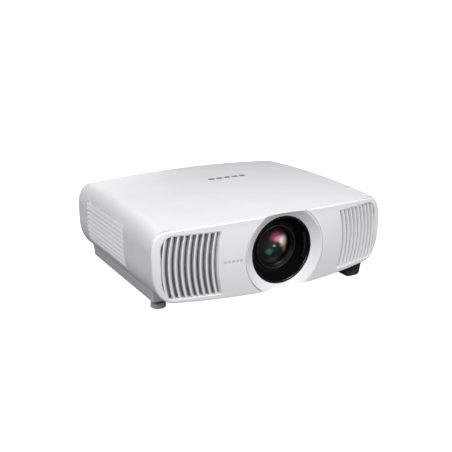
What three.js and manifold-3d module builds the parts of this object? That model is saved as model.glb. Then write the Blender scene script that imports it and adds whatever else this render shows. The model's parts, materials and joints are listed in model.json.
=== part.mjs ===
// Home cinema projector, millimetres, +Z up. The origin is on the floor under the middle of the case.
// The lens looks along -Y; +X is on the right of someone who faces the lens.
import * as THREE from "three";
import { mergeVertices } from "three/addons/utils/BufferGeometryUtils.js";
import Module from "manifold-3d";

const wasm = await Module();
wasm.setup();

// ---- driving dimensions ----
const caseWidth = 520;
const caseDepth = 447;
const caseHeight = 131; // at the left and right edges, before the crowns
const groundClearance = 40; // floor to the lower edge of the case at its sides
const topCrown = 11; // how much the top rises from its sides to its middle
const bottomCrown = 6.5;
const depthCrown = 11; // how much the top rises between front and rear
const rearRise = 4.3;
const frontBow = 39; // how far the middle of the front stands before its ends
const frontBulge = 3.6; // the same, from the top and bottom edges to mid height
const topCorner = { x: 26, z: 37 };
const bottomCorner = { x: 36, z: 60 };
const rearCorner = { x: 46, y: 28 };
const wall = 3;
const bezelThickness = 4;
const splitHeight = 47.5; // lower edge of the top cover
const splitGroove = 1.2;
const gap = 0.3;

const panInset = { side: 22, front: 85.5, rear: 47.5 }; // how far the pan's underside stands inside the case
const panWidth = caseWidth - 2 * panInset.side;
const panFront = -caseDepth / 2 + panInset.front;
const panRear = caseDepth / 2 - panInset.rear;
const panUnderside = 20.5;
const panDraft = 3; // how much wider the pan is at the case

const lensHeight = 106.5;
const hoodRadius = 67.4;
const dishFlare = 19.9; // how much the dish widens from the hood to the front
const dishRadius = hoodRadius + dishFlare;
const dishDepth = 12.3;
const dishWall = 2.5;
const hoodRimWidth = 4.5;
const hoodDepth = 22;
const barrelRadius = 44;
const barrelStep = 4; // from the front flange down to the tube that the rings turn on
const frontGlassRadius = 36;
const shiftUp = 4.4; // lens shift each way
const shiftAcross = 3.9;

const ventRim = { toDish: 45.7, toSide: 15 }; // widths of the front face between a vent and the dish, and the side
const ventInnerX = dishRadius + ventRim.toDish;
const ventOuterX = caseWidth / 2 - ventRim.toSide;
const ventHalfHeight = 60;
const ventBowRadius = 220;
const ventTopCorner = { x: 24, z: 28 };
const ventBottomCorner = { x: 20, z: 46 };
const vaneCount = 9;
const vaneThickness = 3.2;
const vaneDepth = 16;
const vaneLean = 12; // the rear edge of a vane is this much nearer the lens
const ventFrame = 2;
const vaneSetback = 1.2; // the vanes stand this far behind the front face

const louvreInset = { front: 163.5, rear: 74.5 }; // from the ends of the case
const louvreFront = -caseDepth / 2 + louvreInset.front;
const louvreRear = caseDepth / 2 - louvreInset.rear;
const louvreLow = 65;
const louvreHigh = 158;
const slatCount = 9;
const slatSlot = 4;
const slatDrop = 3; // the outer edge of a slot is this much lower
const louvreFrame = 3;

const recessInset = 55; // from the case's sides
const rearRecess = { halfWidth: caseWidth / 2 - recessInset, low: 62, high: 148, depth: 22 };
const panelWall = 2.5;

const doorInset = 53.5; // from the front of the case
const doorLength = 100;
const doorFront = -caseDepth / 2 + doorInset;
const doorRear = doorFront + doorLength;
const doorLow = 94;
const doorHigh = 134;
const doorThickness = 2.5;
const controlRecess = 9;

const footHeight = 9;
const footRadius = 15;
const footStemRadius = 5;
const footInset = { x: 44, y: 26 }; // from the case's left side and from the pan's front
const footPlace = { x: footInset.x - caseWidth / 2, y: panFront + footInset.y };
const stemLength = 52;
const stemSeat = 4; // depth of the stem's socket in the disc
const blockFoot = { inner: 70, outer: 23, lowOuter: 30, front: 50.5, rear: 84.5, chamfer: 8 }; // insets from the case
const rearFootInset = { x: 42, y: 36 }; // from the pan's corners

const engineSize = { left: 120, right: 110, depth: 120, halfHeight: 34, wall: 4 }; // left and right of the lens axis
const prismSize = 30;
const wheel = { radius: 24, thickness: 2, hubRadius: 8, hubLength: 9, fromRear: 30, x: -70 };
const source = { width: 64, halfHeight: 34, depth: 80, fromEngine: 6, noseRadius: 11, noseLength: 25 };
const sink = { plate: 6, length: 90, depth: 100, low: 72, high: 142, fin: 2, finPitch: 11.5, finCount: 9 };
const fan = { half: 46, depth: 25, fromSide: 72, fromFront: 74, rim: 3, hubRadius: 17, bladeCount: 7 };
const filter = { thickness: 8, fromWall: 14, margin: 8, topMargin: 12 };
const boardThickness = 2;
const supply = { left: 60, right: 196, front: 131.5, rear: 37.5, height: 56 }; // front and rear from the case's rear
const board = { left: -196, right: 40, front: 127.5, rear: 41.5, height: 100 };
const farOut = caseWidth + caseDepth; // beyond every side of the case

// ---- derived places ----
const middleHeight = groundClearance + caseHeight / 2;
const frontY = -caseDepth / 2;
const rearY = caseDepth / 2;
const hoodRimY = frontY + dishDepth;
const hoodBackY = hoodRimY + hoodDepth;
const barrelFrontY = hoodBackY - 2;
const panFloor = panUnderside + wall;

// ---- finishes ----
const finishes = {
  whitePlastic: { color: 0xececee, roughness: 0.5, metalness: 0 },
  shadedPlastic: { color: 0xc9c9cc, roughness: 0.55, metalness: 0 },
  blackPlastic: { color: 0x0d0d0e, roughness: 0.4, metalness: 0 },
  darkPlastic: { color: 0x2c2c2e, roughness: 0.6, metalness: 0 },
  rubber: { color: 0x1d1d1e, roughness: 0.9, metalness: 0 },
  glass: { color: 0x24182a, roughness: 0.05, metalness: 0 },
  aluminium: { color: 0xb6b8bb, roughness: 0.4, metalness: 1 },
  steel: { color: 0x8f9296, roughness: 0.35, metalness: 1 },
  board: { color: 0x1d5b34, roughness: 0.6, metalness: 0 },
  foam: { color: 0x55585c, roughness: 0.95, metalness: 0 },
  smoked: { color: 0x3a3a40, roughness: 0.2, metalness: 0 },
};

const projector = new THREE.Group();

// Adds one named piece made from a solid.
function addPiece(name, solid, finish, parent = projector) {
  const mesh = new THREE.Mesh(geometryOf(solid), new THREE.MeshStandardMaterial(finishes[finish]));
  mesh.name = name;
  parent.add(mesh);
  return mesh;
}

// ---- solids ----

// A closed geometry as a solid that can be cut and joined.
function solidOf(geometry) {
  const bare = geometry.clone();
  for (const attribute of ["normal", "uv"]) {
    bare.deleteAttribute(attribute);
  }
  const merged = mergeVertices(bare, 1e-4);
  const vertProperties = new Float32Array(merged.attributes.position.array);
  const triVerts = new Uint32Array(merged.index.array);
  return new wasm.Manifold(new wasm.Mesh({ numProp: 3, vertProperties, triVerts }));
}

function geometryOf(solid) {
  const mesh = solid.getMesh();
  const geometry = new THREE.BufferGeometry();
  geometry.setAttribute("position", new THREE.BufferAttribute(new Float32Array(mesh.vertProperties), 3));
  geometry.setIndex(new THREE.BufferAttribute(new Uint32Array(mesh.triVerts), 1));
  geometry.computeVertexNormals();
  return geometry;
}

function joined(solids) {
  return solids.reduce((whole, solid) => whole.add(solid));
}

// A box between two corners.
function block(low, high) {
  const size = high.map((value, axis) => value - low[axis]);
  const geometry = new THREE.BoxGeometry(...size);
  geometry.translate(...low.map((value, axis) => value + size[axis] / 2));
  return solidOf(geometry);
}

// A box given by its middle and its size.
function blockAt(middle, size) {
  const low = middle.map((value, axis) => value - size[axis] / 2);
  const high = middle.map((value, axis) => value + size[axis] / 2);
  return block(low, high);
}

// A cylinder from one end to the other along the axis "x", "y" or "z".
function rod(axis, from, length, radius, sides = 24) {
  const geometry = new THREE.CylinderGeometry(radius, radius, length, sides);
  if (axis === "x") {
    geometry.rotateZ(-Math.PI / 2);
    geometry.translate(length / 2, 0, 0);
  }
  if (axis === "y") {
    geometry.translate(0, length / 2, 0);
  }
  if (axis === "z") {
    geometry.rotateX(Math.PI / 2);
    geometry.translate(0, 0, length / 2);
  }
  geometry.translate(...from);
  return solidOf(geometry);
}

// A profile of [radius, y] points turned round the optical axis.
function turned(profile, sides = 36, height = lensHeight) {
  const points = profile.map(([radius, y]) => new THREE.Vector2(radius, y));
  if (THREE.ShapeUtils.area(points) < 0) {
    points.reverse();
  }
  points.push(points[0]);
  const geometry = new THREE.LatheGeometry(points, sides);
  geometry.translate(0, 0, height);
  return solidOf(geometry);
}

// Points [x, z] extruded along Y between two places.
function extrudedAlongY(points, fromY, toY) {
  const shape = new THREE.Shape(points.map(([x, z]) => new THREE.Vector2(x, z)));
  const geometry = new THREE.ExtrudeGeometry(shape, { depth: toY - fromY, bevelEnabled: false });
  geometry.rotateX(Math.PI / 2);
  geometry.translate(0, toY, 0);
  return solidOf(geometry);
}

// A quarter ellipse of points from one angle on, counter-clockwise.
function cornerArc(middleX, middleZ, radiusX, radiusZ, startAngle, segments) {
  const points = [];
  for (let step = 0; step <= segments; step += 1) {
    const angle = startAngle + (step / segments) * (Math.PI / 2);
    points.push([middleX + radiusX * Math.cos(angle), middleZ + radiusZ * Math.sin(angle)]);
  }
  return points;
}

// Places strictly between two ends, for the long sides that are bent later.
function between(start, end, segments) {
  const places = [];
  for (let step = 1; step < segments; step += 1) {
    places.push(start + ((end - start) * step) / segments);
  }
  return places;
}

// ---- the form of the case ----

// Section of the case seen from the front, its middle at the origin, drawn smaller by an inset.
function caseSection(inset) {
  const halfWidth = caseWidth / 2 - inset;
  const halfHeight = caseHeight / 2 - inset;
  const top = { x: topCorner.x - inset, z: topCorner.z - inset };
  const bottom = { x: bottomCorner.x - inset, z: bottomCorner.z - inset };
  const cornerSegments = 4;
  const topSegments = 10;
  const points = [];
  const right = halfWidth - top.x;
  const lowRight = halfWidth - bottom.x;
  points.push(...cornerArc(right, halfHeight - top.z, top.x, top.z, 0, cornerSegments));
  for (const x of between(right, -right, topSegments)) {
    points.push([x, halfHeight]);
  }
  points.push(...cornerArc(-right, halfHeight - top.z, top.x, top.z, Math.PI / 2, cornerSegments));
  points.push(...cornerArc(-lowRight, bottom.z - halfHeight, bottom.x, bottom.z, Math.PI, cornerSegments));
  for (const x of between(-lowRight, lowRight, topSegments)) {
    points.push([x, -halfHeight]);
  }
  points.push(...cornerArc(lowRight, bottom.z - halfHeight, bottom.x, bottom.z, 1.5 * Math.PI, cornerSegments));
  return points;
}

// Height that the crowns add to a point of the case: x across, level from -1 at the foot to 1 at the top,
// along from 0 at the front to 1 at the rear.
function crownAt(x, level, along) {
  const across = 1 - (x / (caseWidth / 2)) ** 2;
  const depthRise = depthCrown * 4 * along * (1 - along) + rearRise * along ** 2;
  const up = Math.max(level, 0) ** 2;
  const down = Math.max(-level, 0) ** 2;
  return up * (topCrown * across + depthRise) - down * bottomCrown * across;
}

// The whole outside of the case made smaller by an inset, open-ended past the front.
function caseForm(inset) {
  const straightSteps = 6;
  const roundSteps = 4;
  const steps = straightSteps + roundSteps;
  const shape = new THREE.Shape(caseSection(inset).map(([x, z]) => new THREE.Vector2(x, z)));
  const geometry = new THREE.ExtrudeGeometry(shape, { depth: 1, steps, bevelEnabled: false });
  const position = geometry.attributes.position;
  const start = frontY - 2 * frontBulge;
  const straightEnd = rearY - rearCorner.y;
  const halfHeight = caseHeight / 2;
  for (let i = 0; i < position.count; i += 1) {
    const step = Math.round((1 - position.getZ(i)) * steps);
    let x = position.getX(i);
    let z = position.getY(i);
    let y = start + (Math.min(step, straightSteps) / straightSteps) * (straightEnd - start);
    if (step > straightSteps) {
      const angle = ((step - straightSteps) / roundSteps) * (Math.PI / 2);
      const shrink = 1 - Math.cos(angle);
      const corner = z > 0 ? topCorner : bottomCorner;
      x *= 1 - (shrink * rearCorner.x) / (caseWidth / 2);
      z *= 1 - (shrink * Math.min(corner.z, halfHeight * 0.9)) / halfHeight;
      y = straightEnd + (rearCorner.y - inset) * Math.sin(angle);
    }
    const along = (y - frontY) / caseDepth;
    z += crownAt(x, z / halfHeight, along);
    position.setXYZ(i, x, y, z);
  }
  geometry.translate(0, 0, middleHeight);
  return solidOf(geometry);
}

// Everything behind the curved front, moved back by a distance.
function behindFront(distance) {
  const acrossSegments = 20;
  const upSegments = 4;
  const reach = caseWidth / 2 + 10;
  const points = [];
  for (let step = 0; step <= acrossSegments; step += 1) {
    const x = -reach + (2 * reach * step) / acrossSegments;
    points.push(new THREE.Vector2(x, frontY + frontBow * (x / (caseWidth / 2)) ** 2 + distance));
  }
  points.push(new THREE.Vector2(reach, rearY + 50), new THREE.Vector2(-reach, rearY + 50));
  const height = caseHeight + 60;
  const geometry = new THREE.ExtrudeGeometry(new THREE.Shape(points), {
    depth: height,
    steps: upSegments,
    bevelEnabled: false,
  });
  const position = geometry.attributes.position;
  for (let i = 0; i < position.count; i += 1) {
    const z = position.getZ(i) - height / 2;
    const level = Math.min(Math.abs(z) / (caseHeight / 2), 1);
    const y = position.getY(i);
    const bulge = y < 0 ? frontBulge * (1 - level ** 2) : 0;
    position.setXYZ(i, position.getX(i), y - bulge, z + middleHeight);
  }
  return solidOf(geometry);
}

// The cone of the lens dish, from its bottom out past the front, made wider by a margin.
function dishCone(margin) {
  const slope = (dishRadius - hoodRadius) / dishDepth;
  const out = 20;
  const widest = dishRadius + margin + out * slope;
  const deepest = hoodRimY + 0.01;
  return turned([
    [0, deepest],
    [hoodRadius + margin, deepest],
    [widest, frontY - out],
    [0, frontY - out],
  ]);
}

const outerForm = caseForm(0);
const innerForm = caseForm(wall);
const shell = outerForm.subtract(innerForm);
const behindBezel = behindFront(bezelThickness + gap);
const dishClearance = dishCone(dishWall + gap).add(
  rod("y", [0, hoodRimY - 0.5, lensHeight], 12, hoodRadius + dishWall + gap, 36),
);

// Outline of a front vent, drawn smaller by an inset; side is -1 on the left and 1 on the right.
function ventOutline(side, inset) {
  const outer = ventOuterX - inset;
  const half = ventHalfHeight - inset;
  const top = { x: ventTopCorner.x - inset, z: ventTopCorner.z - inset };
  const bottom = { x: ventBottomCorner.x - inset, z: ventBottomCorner.z - inset };
  const points = [];
  points.push(...cornerArc(outer - bottom.x, bottom.z - half, bottom.x, bottom.z, -Math.PI / 2, 4));
  points.push(...cornerArc(outer - top.x, half - top.z, top.x, top.z, 0, 4));
  const bowSegments = 5;
  for (let step = 0; step <= bowSegments; step += 1) {
    const z = half - (2 * half * step) / bowSegments;
    points.push([ventInnerX + inset + bowOffset(z), z]);
  }
  return points.map(([x, z]) => [side * x, z + middleHeight]);
}

// How far a curved vane or edge stands out from its ends at a height from its middle.
function bowOffset(z) {
  return Math.sqrt(ventBowRadius ** 2 - z ** 2) - Math.sqrt(ventBowRadius ** 2 - ventHalfHeight ** 2);
}

// Depth of the front surface behind its foremost point, at a place across the case.
function frontSetback(x) {
  return frontBow * (x / (caseWidth / 2)) ** 2;
}

function ventHole(side, inset) {
  return extrudedAlongY(ventOutline(side, inset), frontY - 20, frontY + 80);
}

// ---- the casing ----

function makeTopCover() {
  const above = block([-farOut, -farOut, splitHeight], [farOut, farOut, farOut]);
  const recess = block(
    [-rearRecess.halfWidth - gap, rearY - rearRecess.depth - gap, rearRecess.low - gap],
    [rearRecess.halfWidth + gap, farOut, rearRecess.high + gap],
  );
  let cover = shell.intersect(behindBezel).intersect(above).subtract(recess).subtract(dishClearance);
  cover = cover.subtract(sideOpening(-1, 0)).subtract(sideOpening(1, 0));
  cover = cover.subtract(doorOpening(gap));
  return cover.subtract(lampWindow(gap)).subtract(topMark(gap));
}

function makeBaseTray() {
  const lip = splitHeight - splitGroove;
  const under = block([-farOut, -farOut, 0], [farOut, farOut, lip]);
  const skin = shell.intersect(behindBezel).intersect(under);
  const panSolid = panForm(0);
  const panHollow = panForm(wall);
  let tray = skin.add(panSolid.subtract(innerForm)).subtract(panHollow);
  tray = tray.add(footBoss()).add(supportPosts());
  tray = tray.subtract(dishClearance);
  return tray.subtract(rod("z", [footPlace.x, footPlace.y, 0], 60, footStemRadius + gap, 16));
}

// Square posts on the pan's floor that carry the pieces inside.
function supportPosts() {
  const engineMargin = { x: 16, y: 22 };
  const sourceX = engine.low[0] - source.fromEngine - source.width / 2;
  const sinkX = engine.high[0] + sink.length / 2 + 10;
  const boardMargin = 12;
  const middleOfBoard = rearY - (board.front + board.rear) / 2;
  const posts = [
    ...postPairs(engine.low[0] + engineMargin.x, engine.high[0] - engineMargin.x, [
      engine.low[1] + engineMargin.y, engine.high[1] - engineMargin.y], 6, engine.low[2]),
    ...postPairs(sourceX, sourceX, [sourceFrontY + 12, sourceFrontY + source.depth - 14], 8, sourceLow),
    ...postPairs(sinkX, sinkX, [sinkFrontY + 22, sinkFrontY + sink.depth - 26], 8, sink.low),
    ...postPairs(-fanX, fanX, [fanFrontY + fan.depth - 6], 5, lensHeight - fan.half),
    ...postPairs(supply.left + boardMargin, supply.right - 10, [rearY - supply.front + boardMargin], 5, supply.height),
    ...postPairs((supply.left + supply.right) / 2, (supply.left + supply.right) / 2, [
      rearY - supply.rear - 18], 5, supply.height),
    ...postPairs(board.left + 10, board.right - 10, [middleOfBoard], 5, board.height),
  ];
  return joined(posts);
}

// Posts at a left and a right place on each of several rows.
function postPairs(left, right, rows, half, top) {
  const places = left === right ? [left] : [left, right];
  return rows.flatMap((y) => places.map((x) =>
    block([x - half, y - half, panUnderside + 1], [x + half, y + half, top - gap])));
}

// The shallow pan under the case, drawn smaller by an inset and standing an inset above its underside.
function panForm(inset) {
  const halfTop = panWidth / 2 + panDraft - inset;
  const halfFoot = panWidth / 2 - inset;
  const top = splitHeight - splitGroove;
  const front = panFront + inset;
  const rear = panRear - inset;
  const foot = panUnderside + inset;
  const prism = extrudedAlongY([[-halfFoot, foot], [halfFoot, foot], [halfTop, top], [-halfTop, top]], front, rear);
  return prism;
}

// A round boss in the front left corner of the pan that guides the foot's stem.
function footBoss() {
  return rod("z", [footPlace.x, footPlace.y, panUnderside], splitHeight - panUnderside, footRadius, 20)
    .intersect(outerForm.add(panForm(0)));
}

function makeFrontBezel() {
  const face = behindFront(0).subtract(behindFront(bezelThickness));
  return outerForm
    .intersect(face)
    .subtract(ventHole(-1, 0))
    .subtract(ventHole(1, 0))
    .add(bezelCollar())
    .subtract(dishClearance);
}

// The hidden collar behind the dish that ties the two halves of the bezel together over the lens.
function bezelCollar() {
  const inside = hoodRadius + dishWall + gap;
  const collar = turned([
    [inside, hoodRimY - 2],
    [inside + 2, hoodRimY - 2],
    [inside + 2, hoodRimY + 8],
    [inside, hoodRimY + 8],
  ]);
  const reach = dishRadius + 12;
  const webs = block([-reach, frontY + wall, lensHeight - 9], [reach, hoodRimY + 8, lensHeight + 9]);
  const bore = rod("y", [0, frontY, lensHeight], 60, inside + 1, 36);
  return collar.add(webs.subtract(bore)).intersect(caseForm(wall + gap)).intersect(behindFront(1));
}

function makeLensSurround() {
  const outside = dishCone(dishWall).add(
    rod("y", [0, hoodRimY - 0.2, lensHeight], 10, hoodRadius + dishWall, 36),
  );
  const hollow = dishCone(0).add(rod("y", [0, hoodRimY - 1, lensHeight], 20, hoodRadius, 36));
  return outside.subtract(hollow).intersect(outerForm).intersect(behindFront(0));
}

// ---- vents and louvres ----

// One curved upright vane, its front edge following the front face.
function ventVane(side, x) {
  const height = 2 * ventHalfHeight;
  const geometry = new THREE.BoxGeometry(vaneThickness, vaneDepth, height, 1, 1, 5);
  const position = geometry.attributes.position;
  for (let i = 0; i < position.count; i += 1) {
    const z = position.getZ(i);
    const depth = position.getY(i) + vaneDepth / 2;
    const across = x + bowOffset(z) - (vaneLean * depth) / vaneDepth;
    const y = frontY + frontSetback(across) + vaneSetback + depth;
    position.setXYZ(i, side * (position.getX(i) + across), y, z + middleHeight);
  }
  if (side < 0) {
    turnInsideOut(geometry);
  }
  return solidOf(geometry);
}

function turnInsideOut(geometry) {
  const index = geometry.index;
  for (let i = 0; i < index.count; i += 3) {
    const first = index.getX(i);
    index.setX(i, index.getX(i + 1));
    index.setX(i + 1, first);
  }
}

function makeFrontGrille(side) {
  const ring = ventHole(side, gap).subtract(ventHole(side, gap + ventFrame));
  const slab = behindFront(1).subtract(behindFront(vaneSetback + vaneDepth));
  const frame = ring.intersect(slab);
  const inside = ventHole(side, gap + ventFrame / 2);
  const pitch = (ventOuterX - ventInnerX) / (vaneCount + 1);
  const vanes = [];
  for (let vane = 1; vane <= vaneCount; vane += 1) {
    vanes.push(ventVane(side, ventInnerX + pitch * vane));
  }
  return frame.add(joined(vanes).intersect(inside));
}

// The space that a side panel takes out of the case, drawn smaller by an inset.
function sideOpening(side, inset) {
  const reach = 30; // far enough inwards to pass through the curving wall
  const low = [side < 0 ? -farOut : caseWidth / 2 - reach, louvreFront + inset, louvreLow + inset];
  const high = [side < 0 ? reach - caseWidth / 2 : farOut, louvreRear - inset, louvreHigh - inset];
  return block(low, high);
}

const slotReach = { inside: 25, outside: 10 };
const slatThickness = 3; // the depth over which a slot falls by its drop, twice

// A side panel of the case's own curved wall with slanted slots between the slats.
function makeSideLouvre(side) {
  let panel = shell.intersect(sideOpening(side, gap));
  const usable = louvreHigh - louvreLow - 2 * louvreFrame;
  const pitch = usable / slatCount;
  for (let slat = 0; slat < slatCount; slat += 1) {
    const z = louvreLow + louvreFrame + pitch * (slat + 0.5);
    const inner = side * (caseWidth / 2 - slotReach.inside);
    const outer = side * (caseWidth / 2 + slotReach.outside);
    const rise = (slatDrop * (slotReach.inside + slotReach.outside)) / (2 * slatThickness);
    const slot = extrudedAlongY(
      [
        [inner, z + rise * 0.6 - slatSlot / 2],
        [outer, z - rise * 0.4 - slatSlot / 2],
        [outer, z - rise * 0.4 + slatSlot / 2],
        [inner, z + rise * 0.6 + slatSlot / 2],
      ],
      louvreFront + gap + louvreFrame,
      louvreRear - gap - louvreFrame,
    );
    panel = panel.subtract(slot);
  }
  return panel;
}

// ---- rear panel and its sockets ----

const panelFaceY = rearY - rearRecess.depth + panelWall;
const socketRow = 124; // height of the row of small connectors
const receiver = { x: -150, radius: 7, thickness: 1.5 };
const sockets = [
  { name: "hdmi_socket_1", x: 96, z: socketRow, width: 15, height: 5.6, depth: 12 },
  { name: "hdmi_socket_2", x: 62, z: socketRow, width: 15, height: 5.6, depth: 12 },
  { name: "usb_socket", x: 26, z: socketRow, width: 13.2, height: 5.8, depth: 14 },
  { name: "network_socket", x: -10, z: socketRow, width: 12, height: 8.4, depth: 14 },
  { name: "serial_socket", x: -54, z: socketRow, width: 17, height: 8.4, depth: 6 },
  { name: "trigger_socket", x: -92, z: socketRow, width: 4.6, height: 4.6, depth: 12 },
  { name: "power_inlet", x: 150, z: 104, width: 24, height: 16.5, depth: 16 },
];
const socketShell = 1.2;

// Centre of a socket seen from behind, where +X is on the left.
function socketBody(socket, margin) {
  const width = socket.width + 2 * (socketShell + margin);
  const height = socket.height + 2 * (socketShell + margin);
  const front = panelFaceY - socket.depth - socketShell;
  return block(
    [socket.x - width / 2, front - margin, socket.z - height / 2],
    [socket.x + width / 2, panelFaceY + 0.6 + margin, socket.z + height / 2],
  );
}

function makeSocket(socket) {
  const hollow = block(
    [socket.x - socket.width / 2, panelFaceY - socket.depth, socket.z - socket.height / 2],
    [socket.x + socket.width / 2, panelFaceY + 5, socket.z + socket.height / 2],
  );
  return socketBody(socket, 0).subtract(hollow);
}

function makeRearPanel() {
  const { halfWidth, low, high, depth } = rearRecess;
  const outside = block([-halfWidth, rearY - depth, low], [halfWidth, farOut, high]);
  const inside = block(
    [-halfWidth + panelWall, panelFaceY, low + panelWall],
    [halfWidth - panelWall, 2 * farOut, high - panelWall],
  );
  let panel = outside.subtract(inside).intersect(outerForm);
  for (const socket of sockets) {
    panel = panel.subtract(socketBody(socket, gap));
  }
  return panel;
}

// A small smoked window for the remote receiver in the middle of the rear panel's upper edge.
function makeReceiverWindow() {
  return rod("y", [receiver.x, panelFaceY + gap, socketRow], receiver.thickness, receiver.radius, 24);
}

// ---- control door and buttons on the right ----

const wallX = caseWidth / 2;

function doorOpening(margin) {
  return block(
    [wallX - 30, doorFront - margin, doorLow - margin],
    [wallX + 30, doorRear + margin, doorHigh + margin],
  );
}

const doorHinge = { x: wallX - doorThickness / 2, z: doorLow + doorThickness / 2 };

function makeControlDoor() {
  const leaf = block([wallX - doorThickness, doorFront, doorHinge.z], [wallX, doorRear, doorHigh]);
  const knuckle = rod("y", [doorHinge.x, doorFront, doorHinge.z], doorRear - doorFront, doorThickness / 2, 16);
  return leaf.add(knuckle).intersect(outerForm.add(leaf));
}

const controlPlateX = wallX - doorThickness - controlRecess;
const buttonMiddle = { y: (doorFront + doorRear) / 2, z: (doorLow + doorHigh) / 2 };
const buttonStep = 11.5;
const crossMiddleY = buttonMiddle.y - 6;
const buttons = [
  { name: "enter_button", y: crossMiddleY, z: buttonMiddle.z, radius: 4.6 },
  { name: "up_button", y: crossMiddleY, z: buttonMiddle.z + buttonStep, radius: 3.6 },
  { name: "down_button", y: crossMiddleY, z: buttonMiddle.z - buttonStep, radius: 3.6 },
  { name: "left_button", y: crossMiddleY - buttonStep, z: buttonMiddle.z, radius: 3.6 },
  { name: "right_button", y: crossMiddleY + buttonStep, z: buttonMiddle.z, radius: 3.6 },
  { name: "power_button", y: buttonMiddle.y + 36, z: buttonMiddle.z, radius: 4.6 },
  { name: "menu_button", y: buttonMiddle.y - 36, z: buttonMiddle.z + 7, radius: 3.6 },
  { name: "back_button", y: buttonMiddle.y - 36, z: buttonMiddle.z - 8, radius: 3.6 },
];

const plateSetback = 1.8; // keeps the plate clear of the curving wall

// A shallow tray behind the door, open towards it, with a hole for each button.
function makeControlPlate() {
  const margin = 4;
  const outside = block(
    [controlPlateX - 2, doorFront - margin, doorLow - margin],
    [wallX - wall - plateSetback, doorRear + margin, doorHigh + margin],
  );
  const inside = block(
    [controlPlateX, doorFront - margin + 2, doorLow - margin + 2],
    [wallX + 5, doorRear + margin - 2, doorHigh + margin - 2],
  );
  let plate = outside.subtract(inside);
  for (const button of buttons) {
    plate = plate.subtract(rod("x", [controlPlateX - 5, button.y, button.z], 10, button.radius + gap, 14));
  }
  return plate;
}

function makeButton(button) {
  return rod("x", [controlPlateX - 6, button.y, button.z], 9, button.radius, 14);
}

// ---- small flush pieces on the top ----

const lampInset = { side: 16, front: 102.5 };
const lampSize = { x: 24, y: 3 };
const lampX = { from: caseWidth / 2 - lampInset.side - lampSize.x, to: caseWidth / 2 - lampInset.side };
const lampY = { from: frontY + lampInset.front, to: frontY + lampInset.front + lampSize.y };

function lampWindow(margin) {
  return block([lampX.from - margin, lampY.from - margin, lensHeight], [lampX.to + margin, lampY.to + margin, farOut]);
}

function makeLampWindow() {
  return shell.intersect(lampWindow(0));
}

const markSize = { x: 96, y: 16 };
const markMiddle = { x: 24, y: 40 };

function topMark(margin) {
  return block(
    [markMiddle.x - markSize.x / 2 - margin, markMiddle.y - markSize.y / 2 - margin, lensHeight],
    [markMiddle.x + markSize.x / 2 + margin, markMiddle.y + markSize.y / 2 + margin, farOut],
  );
}

function makeTopMark() {
  return shell.intersect(topMark(0));
}

// ---- lens ----

const tubeRadius = barrelRadius - barrelStep;
const tubeRearY = barrelFrontY + 84;
const glassSeatY = barrelFrontY + 5;

function makeLensHood() {
  const backRadius = barrelRadius + Math.hypot(shiftUp, shiftAcross) + 1;
  const lipInside = hoodRadius - gap - hoodRimWidth;
  return turned([
    [hoodRadius - gap, hoodRimY],
    [hoodRadius - gap, hoodRimY + 11],
    [backRadius + 2, hoodBackY],
    [backRadius, hoodBackY],
    [lipInside, hoodRimY + 2],
    [lipInside + 1.5, hoodRimY],
  ]);
}

// A disc that hides the gap round the barrel; it moves with the lens, so it stays clear of the case by the shift.
function makeLensPlate() {
  const cover = barrelRadius + 2 * Math.hypot(shiftUp, shiftAcross) + 5;
  const disc = turned([
    [barrelRadius + gap, hoodBackY + 1],
    [cover, hoodBackY + 1],
    [cover, hoodBackY + 3],
    [barrelRadius + gap, hoodBackY + 3],
  ]);
  return disc.intersect(caseForm(wall + shiftUp + gap));
}

function makeLensBarrel() {
  return turned([
    [barrelRadius, barrelFrontY],
    [barrelRadius, barrelFrontY + 16],
    [tubeRadius, barrelFrontY + 16],
    [tubeRadius, tubeRearY],
    [tubeRadius - 3, tubeRearY],
    [tubeRadius - 3, glassSeatY + 12],
    [frontGlassRadius - 2, glassSeatY + 12],
    [frontGlassRadius - 2, glassSeatY + 8],
    [barrelRadius - 3, glassSeatY + 8],
    [barrelRadius - 3, barrelFrontY],
  ]);
}

function makeLensRing() {
  const outside = barrelRadius - 3 - gap;
  return turned([
    [outside, barrelFrontY + 2],
    [outside, glassSeatY + 7.5],
    [frontGlassRadius + gap, glassSeatY + 7.5],
    [frontGlassRadius + gap, barrelFrontY + 5],
  ]);
}

// A glass disc with a domed front.
function domedGlass(radius, edgeY, rise, thickness, sides) {
  const rings = 4;
  const profile = [];
  for (let ring = 0; ring <= rings; ring += 1) {
    const r = (radius * ring) / rings;
    profile.push([r, edgeY - rise * (1 - (r / radius) ** 2)]);
  }
  profile.push([radius, edgeY + thickness], [0, edgeY + thickness]);
  return turned(profile, sides);
}

function makeTubeRing(fromY, width) {
  const inside = tubeRadius + 0.4;
  const ring = turned([
    [inside, fromY],
    [inside + 4, fromY],
    [inside + 4, fromY + width],
    [inside, fromY + width],
  ]);
  const ribs = [];
  const ribCount = 8;
  for (let rib = 0; rib < ribCount; rib += 1) {
    const angle = (rib / ribCount) * 2 * Math.PI;
    const geometry = new THREE.BoxGeometry(3, width - 4, 2.4);
    geometry.translate(inside + 4.6, fromY + width / 2, 0);
    geometry.rotateY(angle);
    geometry.translate(0, 0, lensHeight);
    ribs.push(solidOf(geometry));
  }
  return ring.add(joined(ribs));
}

const shiftPlateThickness = 7;
const shiftPlateGap = 2;
const carriageY = tubeRearY - 3;

// A square plate of the shift unit with a round hole in its middle.
function shiftPlate(order, halfSize, holeRadius) {
  const fromY = carriageY + order * (shiftPlateThickness + shiftPlateGap);
  const plate = block(
    [-halfSize.x, fromY, lensHeight - halfSize.z],
    [halfSize.x, fromY + shiftPlateThickness, lensHeight + halfSize.z],
  );
  return plate.subtract(rod("y", [0, fromY - 1, lensHeight], shiftPlateThickness + 2, holeRadius, 28));
}

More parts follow.
